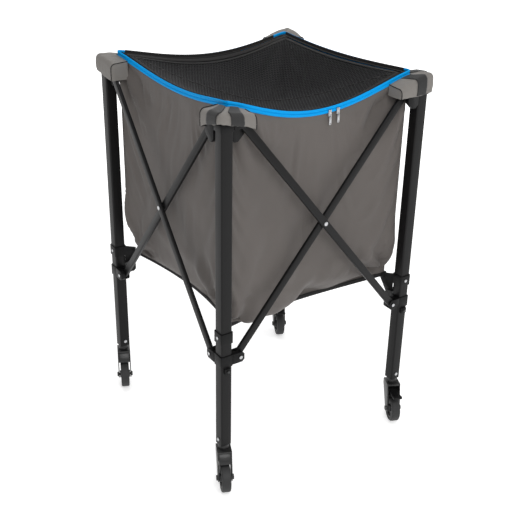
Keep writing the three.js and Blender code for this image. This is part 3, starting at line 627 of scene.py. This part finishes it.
BILLOW, DRAPE, CREASE, CORNER_CREASE = 0.019, 0.0105, 0.0046, 0.0130
FOLD_LIMIT = 0.0095
RIM_PUFF = 0.0010
CORNER_GAP = 0.0003
WALL_SEED = {"front": 3.1, "right": 11.7, "back": 23.3, "left": 37.9}

weave_group = bpy.data.node_groups.new("plain_weave", "ShaderNodeTree")
weave_group.interface.new_socket("Vector", in_out="INPUT", socket_type="NodeSocketVector")
weave_group.interface.new_socket("Threads", in_out="INPUT", socket_type="NodeSocketFloat")
weave_group.interface.new_socket("Height", in_out="OUTPUT", socket_type="NodeSocketFloat")
nodes = weave_group.nodes
entry = nodes.new("NodeGroupInput")
leave = nodes.new("NodeGroupOutput")
split = nodes.new("ShaderNodeSeparateXYZ")
across = nodes.new("ShaderNodeMath")
over = nodes.new("ShaderNodeMath")
over.operation = "MAXIMUM"
wire(
    (entry, "Vector", split, 0),
    (split, "X", across, 0),
    (split, "Y", across, 1),
    (over, 0, leave, "Height"),
)
for number, (source, out) in enumerate(((across, 0), (split, "Z"))):
    count = nodes.new("ShaderNodeMath")
    count.operation = "MULTIPLY"
    wave = nodes.new("ShaderNodeMath")
    wave.operation = "SINE"
    wire((source, out, count, 0), (entry, "Threads", count, 1), (count, 0, wave, 0), (wave, 0, over, number))


def woven(name, colour, roughness, threads, sheen, patch_depth=0.25, specular=0.5):
    """A cloth finish: uneven tone, a plain weave in relief and a little sheen."""
    made = finish(name, colour, roughness, (4.0, patch_depth), (260.0, 0.3, 0.12), 0.05, specular=specular)
    tree = made.node_tree
    shader = tree.nodes["Principled BSDF"]
    place = tree.nodes["Texture Coordinate"]
    weave = tree.nodes.new("ShaderNodeGroup")
    weave.node_tree = weave_group
    dial(weave, Threads=threads)
    relief = tree.nodes.new("ShaderNodeBump")
    dial(relief, Strength=0.25, Distance=0.0001)
    wire(
        (place, "Object", weave, "Vector"),
        (weave, "Height", relief, "Height"),
        (tree.nodes["Bump"], "Normal", relief, "Normal"),
        (relief, "Normal", shader, "Normal"),
    )
    dial(shader, Sheen_Weight=sheen, Sheen_Roughness=0.5)
    return made


grey_cloth = woven("grey_bag_cloth", (0.086, 0.0755, 0.0695), 0.8, 7000.0, 0.08, 0.45)
# Near black, for the inner faces of the walls, floor, hem and pockets.
near_black_inner_face = woven("near_black_inner_face", (0.006, 0.006, 0.0065), 0.8, 7000.0, 0.0)
binding_tape = woven("dark_binding", (0.012, 0.0115, 0.0115), 0.85, 5000.0, 0.02, specular=0.25)


def corner_level(s, t):
    """Height of the plane through the rim's corners, with the far right one a little lower."""
    return BAG_TOP - BACK_DROP * (1 + s) * (1 + t) / 4


def rim_height(side, u):
    """Height of a side's rim, for a place from -1 to 1 along it."""
    spot = quarter(SIDES[side][0]) @ Vector((u, -1, 0))
    return corner_level(spot.x, spot.y) - SAGS[side] * (1 - u * u) ** RIM_CURVE


def spread_foot(spot):
    """The foot stands further out at the front right, where the cloth is pulled toward its leg."""
    share = min(1.0, max(0.0, (BAG_LOW + SPREAD_RISE - spot.z) / SPREAD_RISE))
    s, t = max(0.0, spot.x / FOOT_HALF), max(0.0, -spot.y / FOOT_HALF)
    pull = share * share * (3 - 2 * share) * min(1.0, s * s) * min(1.0, t * t)
    return spot + Vector((FOOT_SPREAD * pull, 0, 0.4 * FOOT_SPREAD * pull))


def wall_reach(v, u):
    """Distance of a wall from the middle of the bag, from foot 0 to rim 1."""
    foot = min(1.0, max(0.0, (FOOT_SHARE - v) / FOOT_RISE))
    top = max(0.0, (v - 1 + DRAW_SHARE) / DRAW_SHARE)
    corner = BAG_HALF - (BAG_HALF - FOOT_HALF) * foot * foot
    return corner - (FOOT_DRAW * foot * foot + RIM_DRAW * top) * (1 - u * u)


def flange_width(u):
    """Width of the cloth turned in at the rim, wide at the corners."""
    return FLANGE + FLANGE_CORNER * u**4


def cloth_lift(u, v, seed):
    """Soft folds of a hanging wall, in metres outward."""
    edge = min(1.0, (1 - abs(u)) / 0.08) * min(1.0, v / 0.06) * min(1.0, (1 - v) / 0.08)
    lift = BILLOW * noise.noise(Vector((u * 1.2 + seed, v * 1.5, seed)))
    lift += DRAPE * noise.noise(Vector((u * 3.4 + v * 1.6 + seed, v * 2.1 - u, seed * 2)))
    lift += CREASE * noise.noise(Vector((u * 8.5 - v * 5.0 + seed, v * 5.5 + u * 2.0, seed * 3)))
    for number, (cu, cv) in enumerate(((-1, 0), (1, 0), (-1, 1), (1, 1))):
        du = abs(u - cu) * BAG_HALF
        dv = abs(v - cv) * (BAG_TOP - BAG_LOW)
        far = math.hypot(du, dv)
        turn = math.atan2(dv, du + 1e-6) + 0.25 * noise.noise(Vector((du * 9, dv * 9, seed + number)))
        reach = 0.16 + 0.11 * abs(math.sin(seed * 3 + number * 2))
        height = CORNER_CREASE * min(1.0, far / 0.06) * math.exp(-((far / reach) ** 1.6))
        lift += height * math.sin(turn * (9 + 2 * (number % 2)) + seed + number)
    lift *= edge
    return FOLD_LIMIT * math.tanh(lift / FOLD_LIMIT) if lift > 0 else lift


def wall_point(u, q, side):
    """Point of a wall's outer face seen as if it were the front one."""
    seed = WALL_SEED[side]
    if q <= WALL_SHARE:
        v = q / WALL_SHARE
        low = BAG_LOW - LOW_SAG * (1 - u * u)
        z = low + (rim_height(side, u) - low) * v
        reach = wall_reach(v, u) + cloth_lift(u, v, seed)
        if side == "front" and v < SLACK_RISE and u < SLACK_END:
            bulge = math.sin(math.pi * (u + 1) / (SLACK_END + 1)) * math.sin(math.pi * v / SLACK_RISE)
            z -= FOOT_SLACK * bulge
            reach += SLACK_OUT * bulge
        end = wall_reach(v, 1) - CORNER_GAP
        x, reach = round_corner(u * end, reach, end)
        return Vector((x, -reach, z))
    k = (q - WALL_SHARE) / (1 - WALL_SHARE)
    reach = wall_reach(1, u) - k * (flange_width(u) + CLOTH)
    end = wall_reach(1, 1) - k * (flange_width(1) + CLOTH) - CORNER_GAP
    puff = RIM_PUFF * math.sin(math.pi * k)
    x, reach = round_corner(u * end, reach, end)
    return Vector((x, -reach, rim_height(side, u) + puff))


def round_corner(along, out, end):
    """Rounds a corner of the bag in plan, for a place along a side, its distance out and the side's end."""
    over = abs(along) - (end - CORNER_ROUND)
    if over <= 0:
        return along, out
    angle = math.radians(45) * min(1.0, over / CORNER_ROUND)
    turned = end - CORNER_ROUND + CORNER_ROUND * math.sin(angle)
    return math.copysign(turned, along), out - CORNER_ROUND * (1 - math.cos(angle))


def settle_cloth(piece, held, frames=18, slack=0.026, most=0.010):
    """Lets a sheet find its own folds between the points that hold it, none moving further than most."""
    only(piece)
    before = [vertex.co.copy() for vertex in piece.data.vertices]
    pins = piece.vertex_groups.new(name="held")
    pins.add([vertex.index for vertex in piece.data.vertices if held(vertex.index)], 1.0, "REPLACE")
    cloth = piece.modifiers.new("cloth", "CLOTH")
    cloth.settings.quality = 6
    cloth.settings.mass = 0.25
    cloth.settings.tension_stiffness = 20
    cloth.settings.compression_stiffness = 20
    cloth.settings.shear_stiffness = 8
    cloth.settings.bending_stiffness = 0.25
    cloth.settings.vertex_group_mass = "held"
    cloth.settings.shrink_min = -slack
    cloth.collision_settings.use_collision = False
    cloth.point_cache.frame_start = 1
    cloth.point_cache.frame_end = frames
    for number in range(1, frames + 1):
        bpy.context.scene.frame_set(number)
    bpy.ops.object.modifier_apply(modifier="cloth")
    bpy.context.scene.frame_set(1)
    for vertex, start in zip(piece.data.vertices, before):
        moved = vertex.co - start
        far = moved.length
        if far > 0:
            vertex.co = start + moved * (most * math.tanh(far / most) / far)
    piece.vertex_groups.clear()


def cloth_grid(name, columns, rows, point, turns=0):
    """A flat grid moved into place by a rule for its two directions, each from -1 to 1."""
    bpy.ops.mesh.primitive_grid_add(x_subdivisions=columns, y_subdivisions=rows, size=2)
    piece = bpy.context.object
    piece.name = name
    turn = quarter(turns)
    for vertex in piece.data.vertices:
        vertex.co = spread_foot(turn @ point(vertex.co.x, vertex.co.y))
    piece.data.update()
    return piece


def thicken(piece, thickness, inner_slot=0, offset=-1.0):
    """Gives a sheet its thickness, with the inside in another finish."""
    only(piece)
    solid = piece.modifiers.new("cloth", "SOLIDIFY")
    solid.thickness = thickness
    solid.offset = offset
    solid.material_offset = inner_slot
    bpy.ops.object.modifier_apply(modifier="cloth")
    bpy.ops.object.shade_smooth()


def fold_away(piece):
    """Gives the piece a mesh of its own."""
    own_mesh(piece)


def hang_from_frame(piece, side):
    """A wall's cloth, or something sewn to it, rides with the corner it hangs from."""
    body, axis, anchor = WALL_BODY[side]
    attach(piece, body)
    fold_away(piece)


WALL_COLUMNS = 96
WALL_ROWS = 112
FOOT_HELD = 3
RIM_HELD = 5
RIM_ROW = WALL_ROWS * WALL_SHARE
WALL_THICK = 0.0014
WALL_CUTS = {
    "front": (0.524, 0.590, 0.2964), "right": (0.530, 0.590, 0.3098),
    "back": (0.530, 0.580, 0.3018), "left": (0.530, 0.585, 0.3048),
}


def wall_held(index):
    """Whether a point of a wall is sewn: at its foot, at a corner seam or near the rim."""
    row, column = divmod(index, WALL_COLUMNS + 1)
    return row < FOOT_HELD or row > RIM_ROW - RIM_HELD or column in (0, WALL_COLUMNS)


hung, sewn = {}, {}
for side, (turns, main) in SIDES.items():
    wall = cloth_grid(
        "bag_cloth_" + side, WALL_COLUMNS, WALL_ROWS, lambda x, y: wall_point(x, (y + 1) / 2, side), turns
    )
    settle_cloth(wall, wall_held)
    # The wall's inner face is near black.
    paint(wall, grey_cloth, near_black_inner_face, binding_tape)
    for face in wall.data.polygons:
        if face.index // WALL_COLUMNS >= RIM_ROW - 0.5:
            face.material_index = 2
    thicken(wall, WALL_THICK, 1)
    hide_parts("bag_wall_" + side)
    hang_from_frame(wall, side)
    hung[side] = wall


# Seam bindings
# A dark woven tape is folded over the foot seam, where walls and floor are sewn together. It is about 12 mm
# high.
TAPE = (0.0046, 0.0125)
TAPE_OUT = 0.0006


def swept(name, line, section, closed=False):
    """A section carried along a line of points. Its first direction is right of travel, its second up."""
    count = len(line)
    columns = count if closed else count - 1
    rows = len(section)
    bpy.ops.mesh.primitive_grid_add(x_subdivisions=columns, y_subdivisions=rows, size=2)
    piece = bpy.context.object
    piece.name = name
    for vertex in piece.data.vertices:
        i = round((vertex.co.x + 1) / 2 * columns)
        j = round((vertex.co.y + 1) / 2 * rows) % rows
        here = line[i % count]
        if closed:
            before, after = line[(i - 1) % count], line[(i + 1) % count]
        else:
            before, after = line[max(i - 1, 0)], line[min(i + 1, count - 1)]
        travel = (after - before).normalized()
        side_way = travel.cross(Vector((0, 0, 1)))
        if side_way.length < 1e-6:
            side_way = Vector((1, 0, 0))
        side_way.normalize()
        up_way = side_way.cross(travel)
        a, b = section[j]
        vertex.co = here + side_way * a + up_way * b
    only(piece)
    bpy.ops.object.mode_set(mode="EDIT")
    bpy.ops.mesh.select_all(action="SELECT")
    bpy.ops.mesh.remove_doubles(threshold=0.00001)
    if not closed:
        bpy.ops.mesh.select_all(action="DESELECT")
        bpy.ops.mesh.select_mode(type="EDGE")
        bpy.ops.mesh.select_non_manifold()
        bpy.ops.mesh.fill_holes(sides=0)
    bpy.ops.mesh.select_all(action="SELECT")
    bpy.ops.mesh.normals_make_consistent(inside=False)
    bpy.ops.object.mode_set(mode="OBJECT")
    bpy.ops.object.shade_smooth_by_angle(angle=math.radians(50))
    return piece


def oval(width, height, points=12):
    """An oval section."""
    turns = [2 * math.pi * k / points for k in range(points)]
    return [(width / 2 * math.cos(turn), height / 2 * math.sin(turn)) for turn in turns]


def along_side(side, rule, steps=48, low=-1.0, high=1.0):
    """Points along one side of the bag, from a rule for the place along it."""
    turn = quarter(SIDES[side][0])
    return [spread_foot(turn @ rule(low + (high - low) * k / steps)) for k in range(steps + 1)]


def foot_seam(u):
    """Point of the foot seam on the front side."""
    return Vector((u * FOOT_HALF, -wall_reach(0, u) + TAPE_OUT, BAG_LOW - LOW_SAG * (1 - u * u)))


for side in SIDES:
    tape = swept("foot_binding_" + side, along_side(side, foot_seam), oval(*TAPE))
    paint(tape, binding_tape)
    hang_from_frame(tape, side)
    sewn[side] = [tape]


# Bag floor
# One square of the same cloth, sewn in at the foot seam and pressed down by what lies in the bag.
FLOOR_SAG = 0.014
FLOOR_RIPPLE = 0.0022
FLOOR_THICK = 0.0016
FLOOR_TUCK = 0.0006


def floor_point(s, t):
    """Point of the floor panel."""
    drop = LOW_SAG * (1 - s * s) + LOW_SAG * (1 - t * t) + FLOOR_SAG * (1 - s * s) * (1 - t * t)
    ripple = FLOOR_RIPPLE * noise.noise(Vector((s * 2.4, t * 2.4, 5.0))) * (1 - s**8) * (1 - t**8)
    return Vector((s * wall_reach(0, t), t * wall_reach(0, s), BAG_LOW - FLOOR_TUCK - drop + ripple))


panel = cloth_grid("bag_floor_cloth", 64, 64, floor_point)
paint(panel, near_black_inner_face, grey_cloth)
thicken(panel, FLOOR_THICK, 1)
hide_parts("bag_floor")
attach(panel, "bag_floor")
fold_away(panel)


# Zip
# A bright blue coil zip runs round the outside of the rim, on a tape sewn to the walls. Its two rows of
# coils show as cords. A dark guard strip stands behind them.
zip_blue = woven("zip_blue", (0.0, 0.265, 0.640), 0.55, 9000.0, 0.0, 0.08, 0.08)
ZIP_ROWS = (0.0034, -0.0040)
ZIP_OUT = 0.0010
ZIP_CORD = (0.0042, 0.0076)
GUARD_OUT = -0.0022
GUARD_DROP = -0.0034
GUARD_STRIP = (0.0020, 0.0104)
GUARD_ENDS = {"front": (-0.95, 0.93), "right": (-0.93, 0.97), "back": (-0.84, 0.93), "left": (-0.93, 0.95)}


def zip_line(side, outward, drop, near=-1.0, far=1.0, steps=64):
    """Points along a side's rim, round to the corners' middles, so far outward and below the edge."""

    def rule(u):
        end = wall_reach(1, 1) + outward
        along, out = round_corner(u * end, wall_reach(1, u) + outward, end)
        return Vector((along, -out, rim_height(side, u) - drop))

    return along_side(side, rule, steps, near, far)


for side in SIDES:
    for row, drop in enumerate(ZIP_ROWS):
        cord = swept(f"zip_coil_{row + 1}_{side}", zip_line(side, ZIP_OUT, drop), oval(*ZIP_CORD))
        paint(cord, zip_blue)
        hang_from_frame(cord, side)
        sewn[side].append(cord)
    near, far = GUARD_ENDS[side]
    guard = swept("zip_guard_" + side, zip_line(side, GUARD_OUT, GUARD_DROP, near, far), oval(*GUARD_STRIP))
    paint(guard, binding_tape)
    hang_from_frame(guard, side)
    width, length, area = WALL_CUTS[side]


# Net lid
# Black knotless net in a cloth border, hinged on a cloth hem at the back. It hangs in a shallow hollow
# between the four rims.
LID_SAG = 0.025
HEM_SHARE = 0.93
LID_GAP = 0.00125
NET_COLUMNS = 116
NET_ROWS = 64
NET_ZIGZAG = 0.16
NET_REACH = 0.985
NET_SLACK = 0.006
STRAND = 0.0014
BORDER_REACH = 0.972
BORDER = (0.0125, 0.0022)
BORDER_STEPS = 40
SEAM_REACH = 0.94
SEAM_STEPS = 48
SEAM_UP = 0.0006
SEAM = (0.0050, 0.0018)
HEM_GAP = 0.004
HEM_BULGE = 0.0014
HEM_THICK = 0.0016
net_black = finish("net_cord", (0.026, 0.026, 0.028), 0.55, (30.0, 0.3), (2000.0, 0.2, 0.03), 0.05)


def lid_reach(u):
    """Distance of the lid's edge from the middle."""
    return wall_reach(1, u) - CLOTH - flange_width(u) - LID_GAP


def lid_point(s, t):
    """Point of the lid's surface."""
    b, a = (1 + t) / 2, (1 + s) / 2
    first = rim_height("front", s) * (1 - b) + rim_height("back", -s) * b
    second = rim_height("left", -t) * (1 - a) + rim_height("right", t) * a
    sag = LID_SAG * (1 - s * s) * (1 - t * t)
    level = first + second - corner_level(s, t)
    return Vector((s * lid_reach(t), t * lid_reach(s), level - sag - CLOTH / 2))


def lid_depth(y):
    """Place on the lid for a grid place from -1 to 1, ending at the hem."""
    return (y + 1) / 2 * (1 + HEM_SHARE) - 1


def slack(s, t):
    """Uneven slack of the net."""
    lift = NET_SLACK * noise.noise(Vector((s * 1.8 + 4, t * 1.8, 9.0)))
    return Vector((0, 0, lift * (1 - s**4) * (1 - t**4)))


def net_knot(x, y):
    """Place of a knot, moved up or down in turn so that the meshes come out six-sided."""
    column = round((x + 1) / 2 * NET_COLUMNS)
    row = round((y + 1) / 2 * NET_ROWS)
    edge = column in (0, NET_COLUMNS) or row in (0, NET_ROWS)
    shift = 0.0 if edge else NET_ZIGZAG * (1 if (column + row) % 2 else -1) * 2 / NET_ROWS
    return lid_point(x * NET_REACH, lid_depth((y + shift) * NET_REACH)) + slack(x, y)


net = cloth_grid("lid_net_cords", NET_COLUMNS, NET_ROWS, net_knot)
only(net)
bpy.ops.object.mode_set(mode="EDIT")
bpy.ops.mesh.select_mode(type="EDGE")
bpy.ops.mesh.select_all(action="DESELECT")
shape = bmesh.from_edit_mesh(net.data)
shape.verts.ensure_lookup_table()
for edge in shape.edges:
    a, b = sorted(vertex.index for vertex in edge.verts)
    row, column = divmod(a, NET_COLUMNS + 1)
    upright = b - a == NET_COLUMNS + 1 and 0 < column < NET_COLUMNS
    edge.select = upright and (row + column) % 2 == 0
shape.select_flush_mode()
bmesh.update_edit_mesh(net.data)
bpy.ops.mesh.dissolve_edges(use_verts=False)
bpy.ops.object.mode_set(mode="OBJECT")
strands = net.modifiers.new("strands", "WIREFRAME")
strands.thickness = STRAND
strands.use_even_offset = False
bpy.ops.object.modifier_apply(modifier="strands")
paint(net, net_black)
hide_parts("lid_net")
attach(net, "lid")
fold_away(net)

border_line = []
for a, b in ((1, 0), (0, 1), (-1, 0), (0, -1)):
    for k in range(BORDER_STEPS):
        run = 2 * k / BORDER_STEPS
        x, y = b - a + a * run, -a - b + b * run
        border_line.append(lid_point(x * BORDER_REACH, lid_depth(y * BORDER_REACH)))
border = swept("lid_border", border_line, oval(*BORDER, 10), closed=True)
paint(border, binding_tape)
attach(border, "lid")
fold_away(border)
seam_line = []
for k in range(SEAM_STEPS + 1):
    along = -SEAM_REACH + 2 * SEAM_REACH * k / SEAM_STEPS
    seam_line.append(lid_point(along, lid_depth(-along)) + slack(along, -along) + Vector((0, 0, SEAM_UP)))
seam = swept("lid_seam", seam_line, oval(*SEAM, 10))
paint(seam, binding_tape)
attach(seam, "lid")
fold_away(seam)


def hem_point(x, y):
    """Point of the hem, between the net and the back rim."""
    depth = HEM_SHARE + HEM_GAP + (1 - HEM_SHARE - HEM_GAP) * (y + 1) / 2
    return lid_point(x, depth) + Vector((0, 0, HEM_BULGE * math.cos(y * math.pi / 2)))


hem = cloth_grid("lid_hem_cloth", 64, 6, hem_point)
paint(hem, binding_tape, near_black_inner_face)
thicken(hem, HEM_THICK, 1)
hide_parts("lid_hem")
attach(hem, "lid_hem")
fold_away(hem)


# Zip pulls
# Two zinc plated sliders meet on the front of the rim. Each carries a stamped pull on a wire loop, with a
# hole near its end. A place is given as a distance out from the wall and a drop below the rim.
PULL_PLACES = (("left", 0.115), ("right", 0.205))
SLIDER_AT, SLIDER_SIZE = (0.0030, 0.0068), (0.0086, 0.0052, 0.0150)
SLIDER_INSET, SLIDER_RISE, SLIDER_EDGE = 0.0018, 0.0012, 0.0009
LOOP_AT, LOOP_R, WIRE_R = (0.0062, 0.0135), 0.0036, 0.0008
PULL_AT, PULL_SIZE, PULL_CORNER = (0.0068, 0.0250), (0.0064, 0.0016, 0.0200), 0.0026
HOLE_AT, HOLE_R, HOLE_RUN = (0.0068, 0.0315), 0.0014, 0.006
for side, u in PULL_PLACES:
    x = u * wall_reach(1, 1)
    rim = rim_height("front", u)
    edge = wall_reach(1, u)
    slider_at, loop_at, pull_at, hole_at = (
        (x, -edge - out, rim - drop) for out, drop in (SLIDER_AT, LOOP_AT, PULL_AT, HOLE_AT)
    )
    bpy.ops.mesh.primitive_cube_add(size=1, location=slider_at)
    slider = bpy.context.object
    slider.scale = SLIDER_SIZE
    settle(slider)
    pick(slider, "FACE", lambda middle, normal: normal.y < -0.9)
    bpy.ops.mesh.inset(thickness=SLIDER_INSET)
    bpy.ops.mesh.extrude_region_move(TRANSFORM_OT_translate={"value": (0, -SLIDER_RISE, 0)})
    bpy.ops.object.mode_set(mode="OBJECT")
    soften(slider, SLIDER_EDGE, 3)
    bpy.ops.mesh.primitive_torus_add(
        location=loop_at, rotation=(0, math.radians(90), 0),
        major_radius=LOOP_R, minor_radius=WIRE_R, major_segments=24, minor_segments=8,
    )
    link = bpy.context.object
    settle(link)
    bpy.ops.mesh.primitive_cube_add(size=1, location=pull_at)
    pull = bpy.context.object
    pull.scale = PULL_SIZE
    settle(pull)
    pick(pull, "EDGE", lambda middle, along: abs(along.y) > 0.9)
    bpy.ops.mesh.bevel(offset=PULL_CORNER, segments=4)
    bpy.ops.object.mode_set(mode="OBJECT")
    bpy.ops.mesh.primitive_cylinder_add(
        vertices=20, radius=HOLE_R, depth=HOLE_RUN, location=hole_at, rotation=(math.radians(90), 0, 0)
    )
    punch = bpy.context.object
    only(pull)
    hole = pull.modifiers.new("hole", "BOOLEAN")
    hole.object = punch
    hole.operation = "DIFFERENCE"
    hole.solver = "EXACT"
    bpy.ops.object.modifier_apply(modifier="hole")
    only(punch)
    bpy.ops.object.delete()
    soften(pull, 0.0003, 2)
    piece = joined("zip_slider_" + side, [pull, link, slider])
    paint(piece, zinc)
    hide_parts("zip_pull_" + side)
    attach(piece, "zip_pull_" + side)


# Corner pockets
# Pockets of the bag's cloth, sewn below the zip, are pulled over the head fittings. Dark webbing runs over
# the front two. A shape is its sides, arm lengths, hem lifts, crown and the straps' ends.
CAP_OUT = 0.024
CAP_LOW = 0.944
CAP_EDGE = 0.0150
CAP_CORNER = 0.011
CAP_SHOULDER = 0.011
CAP_BELOW_RIM = 0.0045
CAP_FALL = 0.05
CAP_END = 0.90
CAP_THICK = 0.0018
CAP_PUFF = 0.0016
WRINKLE, FINE_WRINKLE = 0.0022, 0.0010
CAP_TURN = 0.12
FRONT_RISE = 0.5
SHOULDER_RISE = 0.72
PIPING_OUT = 0.0012
PIPING = (0.0022, 0.0022)
PIPING_STEPS = 24
STRAP_OUT = 0.0022
STRAP_THICK = 0.0014
CAP_SHAPES = {
    "front_left": (("front", "left"), (0.067, 0.056), (0.020, 0.005), 0.000, ((0.25, 0.58), (-0.56, -0.12))),
    "front_right": (("right", "front"), (0.070, 0.08), (0.002, 0.002), 0.008, ((0.27, 0.56), (-0.5, -0.25))),
    "back_right": (("back", "right"), (0.063, 0.052), (0.000, 0.002), 0.014, ()),
    "back_left": (("left", "back"), (0.070, 0.066), (0.000, 0.010), 0.002, ()),
}
CAP_CUTS = {
    "front_left": (0.165, 0.085, 0.0122), "front_right": (0.210, 0.090, 0.0164),
    "back_right": (0.170, 0.090, 0.0133), "back_left": (0.200, 0.092, 0.0167),
}
pocket_cloth = woven("pocket_cloth", (0.146, 0.136, 0.125), 0.8, 7000.0, 0.1, 0.2)
strap_webbing = woven("strap_webbing", (0.009, 0.0088, 0.0088), 0.8, 3000.0, 0.1)


def pocket_path(arms, place, inward):
    """Point of the pocket in plan, for a place from -1 to 1 round the corner and a depth from its face."""
    near = -CAP_OUT + inward
    radius = max(CAP_CORNER - inward, 0.0005)
    if abs(place) <= CAP_TURN:
        angle = math.radians(225 + 45 * place / CAP_TURN)
        return near + radius + radius * math.cos(angle), near + radius + radius * math.sin(angle)
    share = (abs(place) - CAP_TURN) / (1 - CAP_TURN)
    run = near + radius + (arms[0 if place > 0 else 1] - near - radius) * share
    return (run, near) if place > 0 else (near, run)


def pocket_point(corner, place, rise, swell=0.0):
    """Point of the pocket, for a rise from its hem at 0 to its sewn edge at 1. It closes past its end."""
    sides, arms, lift, crown = CAP_SHAPES[corner][:4]
    along = min(1.0, abs(place) / CAP_END)
    signed = math.copysign(along, place)
    close = max(0.0, (abs(place) - CAP_END) / (1 - CAP_END))
    run = max(CAP_EDGE, *pocket_path(arms, signed, CAP_OUT + CAP_EDGE))
    u = min(1.0, (SPAN - run) / BAG_HALF)
    depth = CAP_OUT + SPAN - wall_reach(1, u) - (BAG_HALF - wall_reach(1, 1)) - 0.003
    top = rim_height(sides[0] if place > 0 else sides[1], -u if place > 0 else u) - CAP_BELOW_RIM
    low = CAP_LOW + lift[0] * (1 - along) ** 0.7 - lift[1] * along
    shoulder = min(CAP_SHOULDER, (top - low) * 0.5)
    outer_top = top - CAP_FALL * depth + crown * (1 - along**2)
    over = max(0.0, (rise - SHOULDER_RISE) / (1 - SHOULDER_RISE))
    if rise < FRONT_RISE:
        inward = 0.0
        z = low + (outer_top - shoulder - low) * rise / FRONT_RISE
    elif rise < SHOULDER_RISE:
        angle = math.radians(90) * (rise - FRONT_RISE) / (SHOULDER_RISE - FRONT_RISE)
        inward = shoulder * (1 - math.cos(angle))
        z = outer_top - shoulder * (1 - math.sin(angle))
    else:
        inward = shoulder + (depth - shoulder) * over
        z = outer_top + (top - outer_top) * over
    end = min(1.0, (1 - along) / 0.10)
    puff = CAP_PUFF * math.sin(math.pi * min(1.0, rise / 0.6)) * (0.3 + 0.7 * end)
    x, y = pocket_path(arms, signed, max(-0.004, inward - puff - swell) if rise < SHOULDER_RISE else inward)
    if rise >= FRONT_RISE:
        z += swell + puff * (1 - over)
    if close > 0:
        inner = pocket_path(arms, signed, depth)
        x += (inner[0] - x) * close
        y += (inner[1] - y) * close
        z += (low - z) * close
    return x, y, z


def wrinkled(corner, turns, gx, gy):
    """Point of a pocket with the small wrinkles of its cloth, which fade out at the seams."""
    x, y, z = pocket_point(corner, gx, (gy + 1) / 2)
    ease = min(1.0, (1 - abs(gx)) / 0.05) * min(1.0, (1 - gy) / 0.2)
    wrinkle = noise.noise(Vector((x * 30, y * 30, z * 30 + turns * 7)))
    wrinkle = (WRINKLE * wrinkle + FINE_WRINKLE * noise.noise(Vector((x * 90, y * 90, z * 90)))) * ease
    return Vector((x + wrinkle * 0.5, y + wrinkle * 0.5, z + wrinkle))


def strap_point(corner, start, stop, gx, gy):
    """Point of a strap that lies on the pocket between two places round it."""
    place = start + (stop - start) * (gx + 1) / 2
    return Vector(pocket_point(corner, place, (gy + 1) / 2 * 0.97 + 0.01, STRAP_OUT))


for corner, (sx, sy, turns) in CORNERS.items():
    at = Matrix.Translation((sx * SPAN, sy * SPAN, 0))
    cap = cloth_grid("corner_pocket_" + corner, 96, 36, lambda x, y: wrinkled(corner, turns, x, y), turns)
    cap.data.transform(at)
    paint(cap, pocket_cloth, near_black_inner_face)
    thicken(cap, CAP_THICK, 1, 0.0)
    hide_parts("cap_" + corner)
    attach(cap, "corner_" + corner)
    for number, place_at in enumerate((-CAP_END, CAP_END)):
        edge_line = []
        for k in range(PIPING_STEPS + 1):
            spot = Vector(pocket_point(corner, place_at, k / PIPING_STEPS, PIPING_OUT))
            edge_line.append(at @ quarter(turns) @ spot)
        piping = swept(f"pocket_piping_{number + 1}_{corner}", edge_line, oval(*PIPING, 8))
        paint(piping, binding_tape)
        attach(piping, "corner_" + corner)
    for number, (start, stop) in enumerate(CAP_SHAPES[corner][4]):
        strap = cloth_grid(
            f"corner_strap_{number + 1}_{corner}", 12, 36,
            lambda x, y: strap_point(corner, start, stop, x, y), turns,
        )
        strap.data.transform(at)
        paint(strap, strap_webbing)
        thicken(strap, STRAP_THICK, 0, 0.0)
        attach(strap, "corner_" + corner)
    width, length, area = CAP_CUTS[corner]
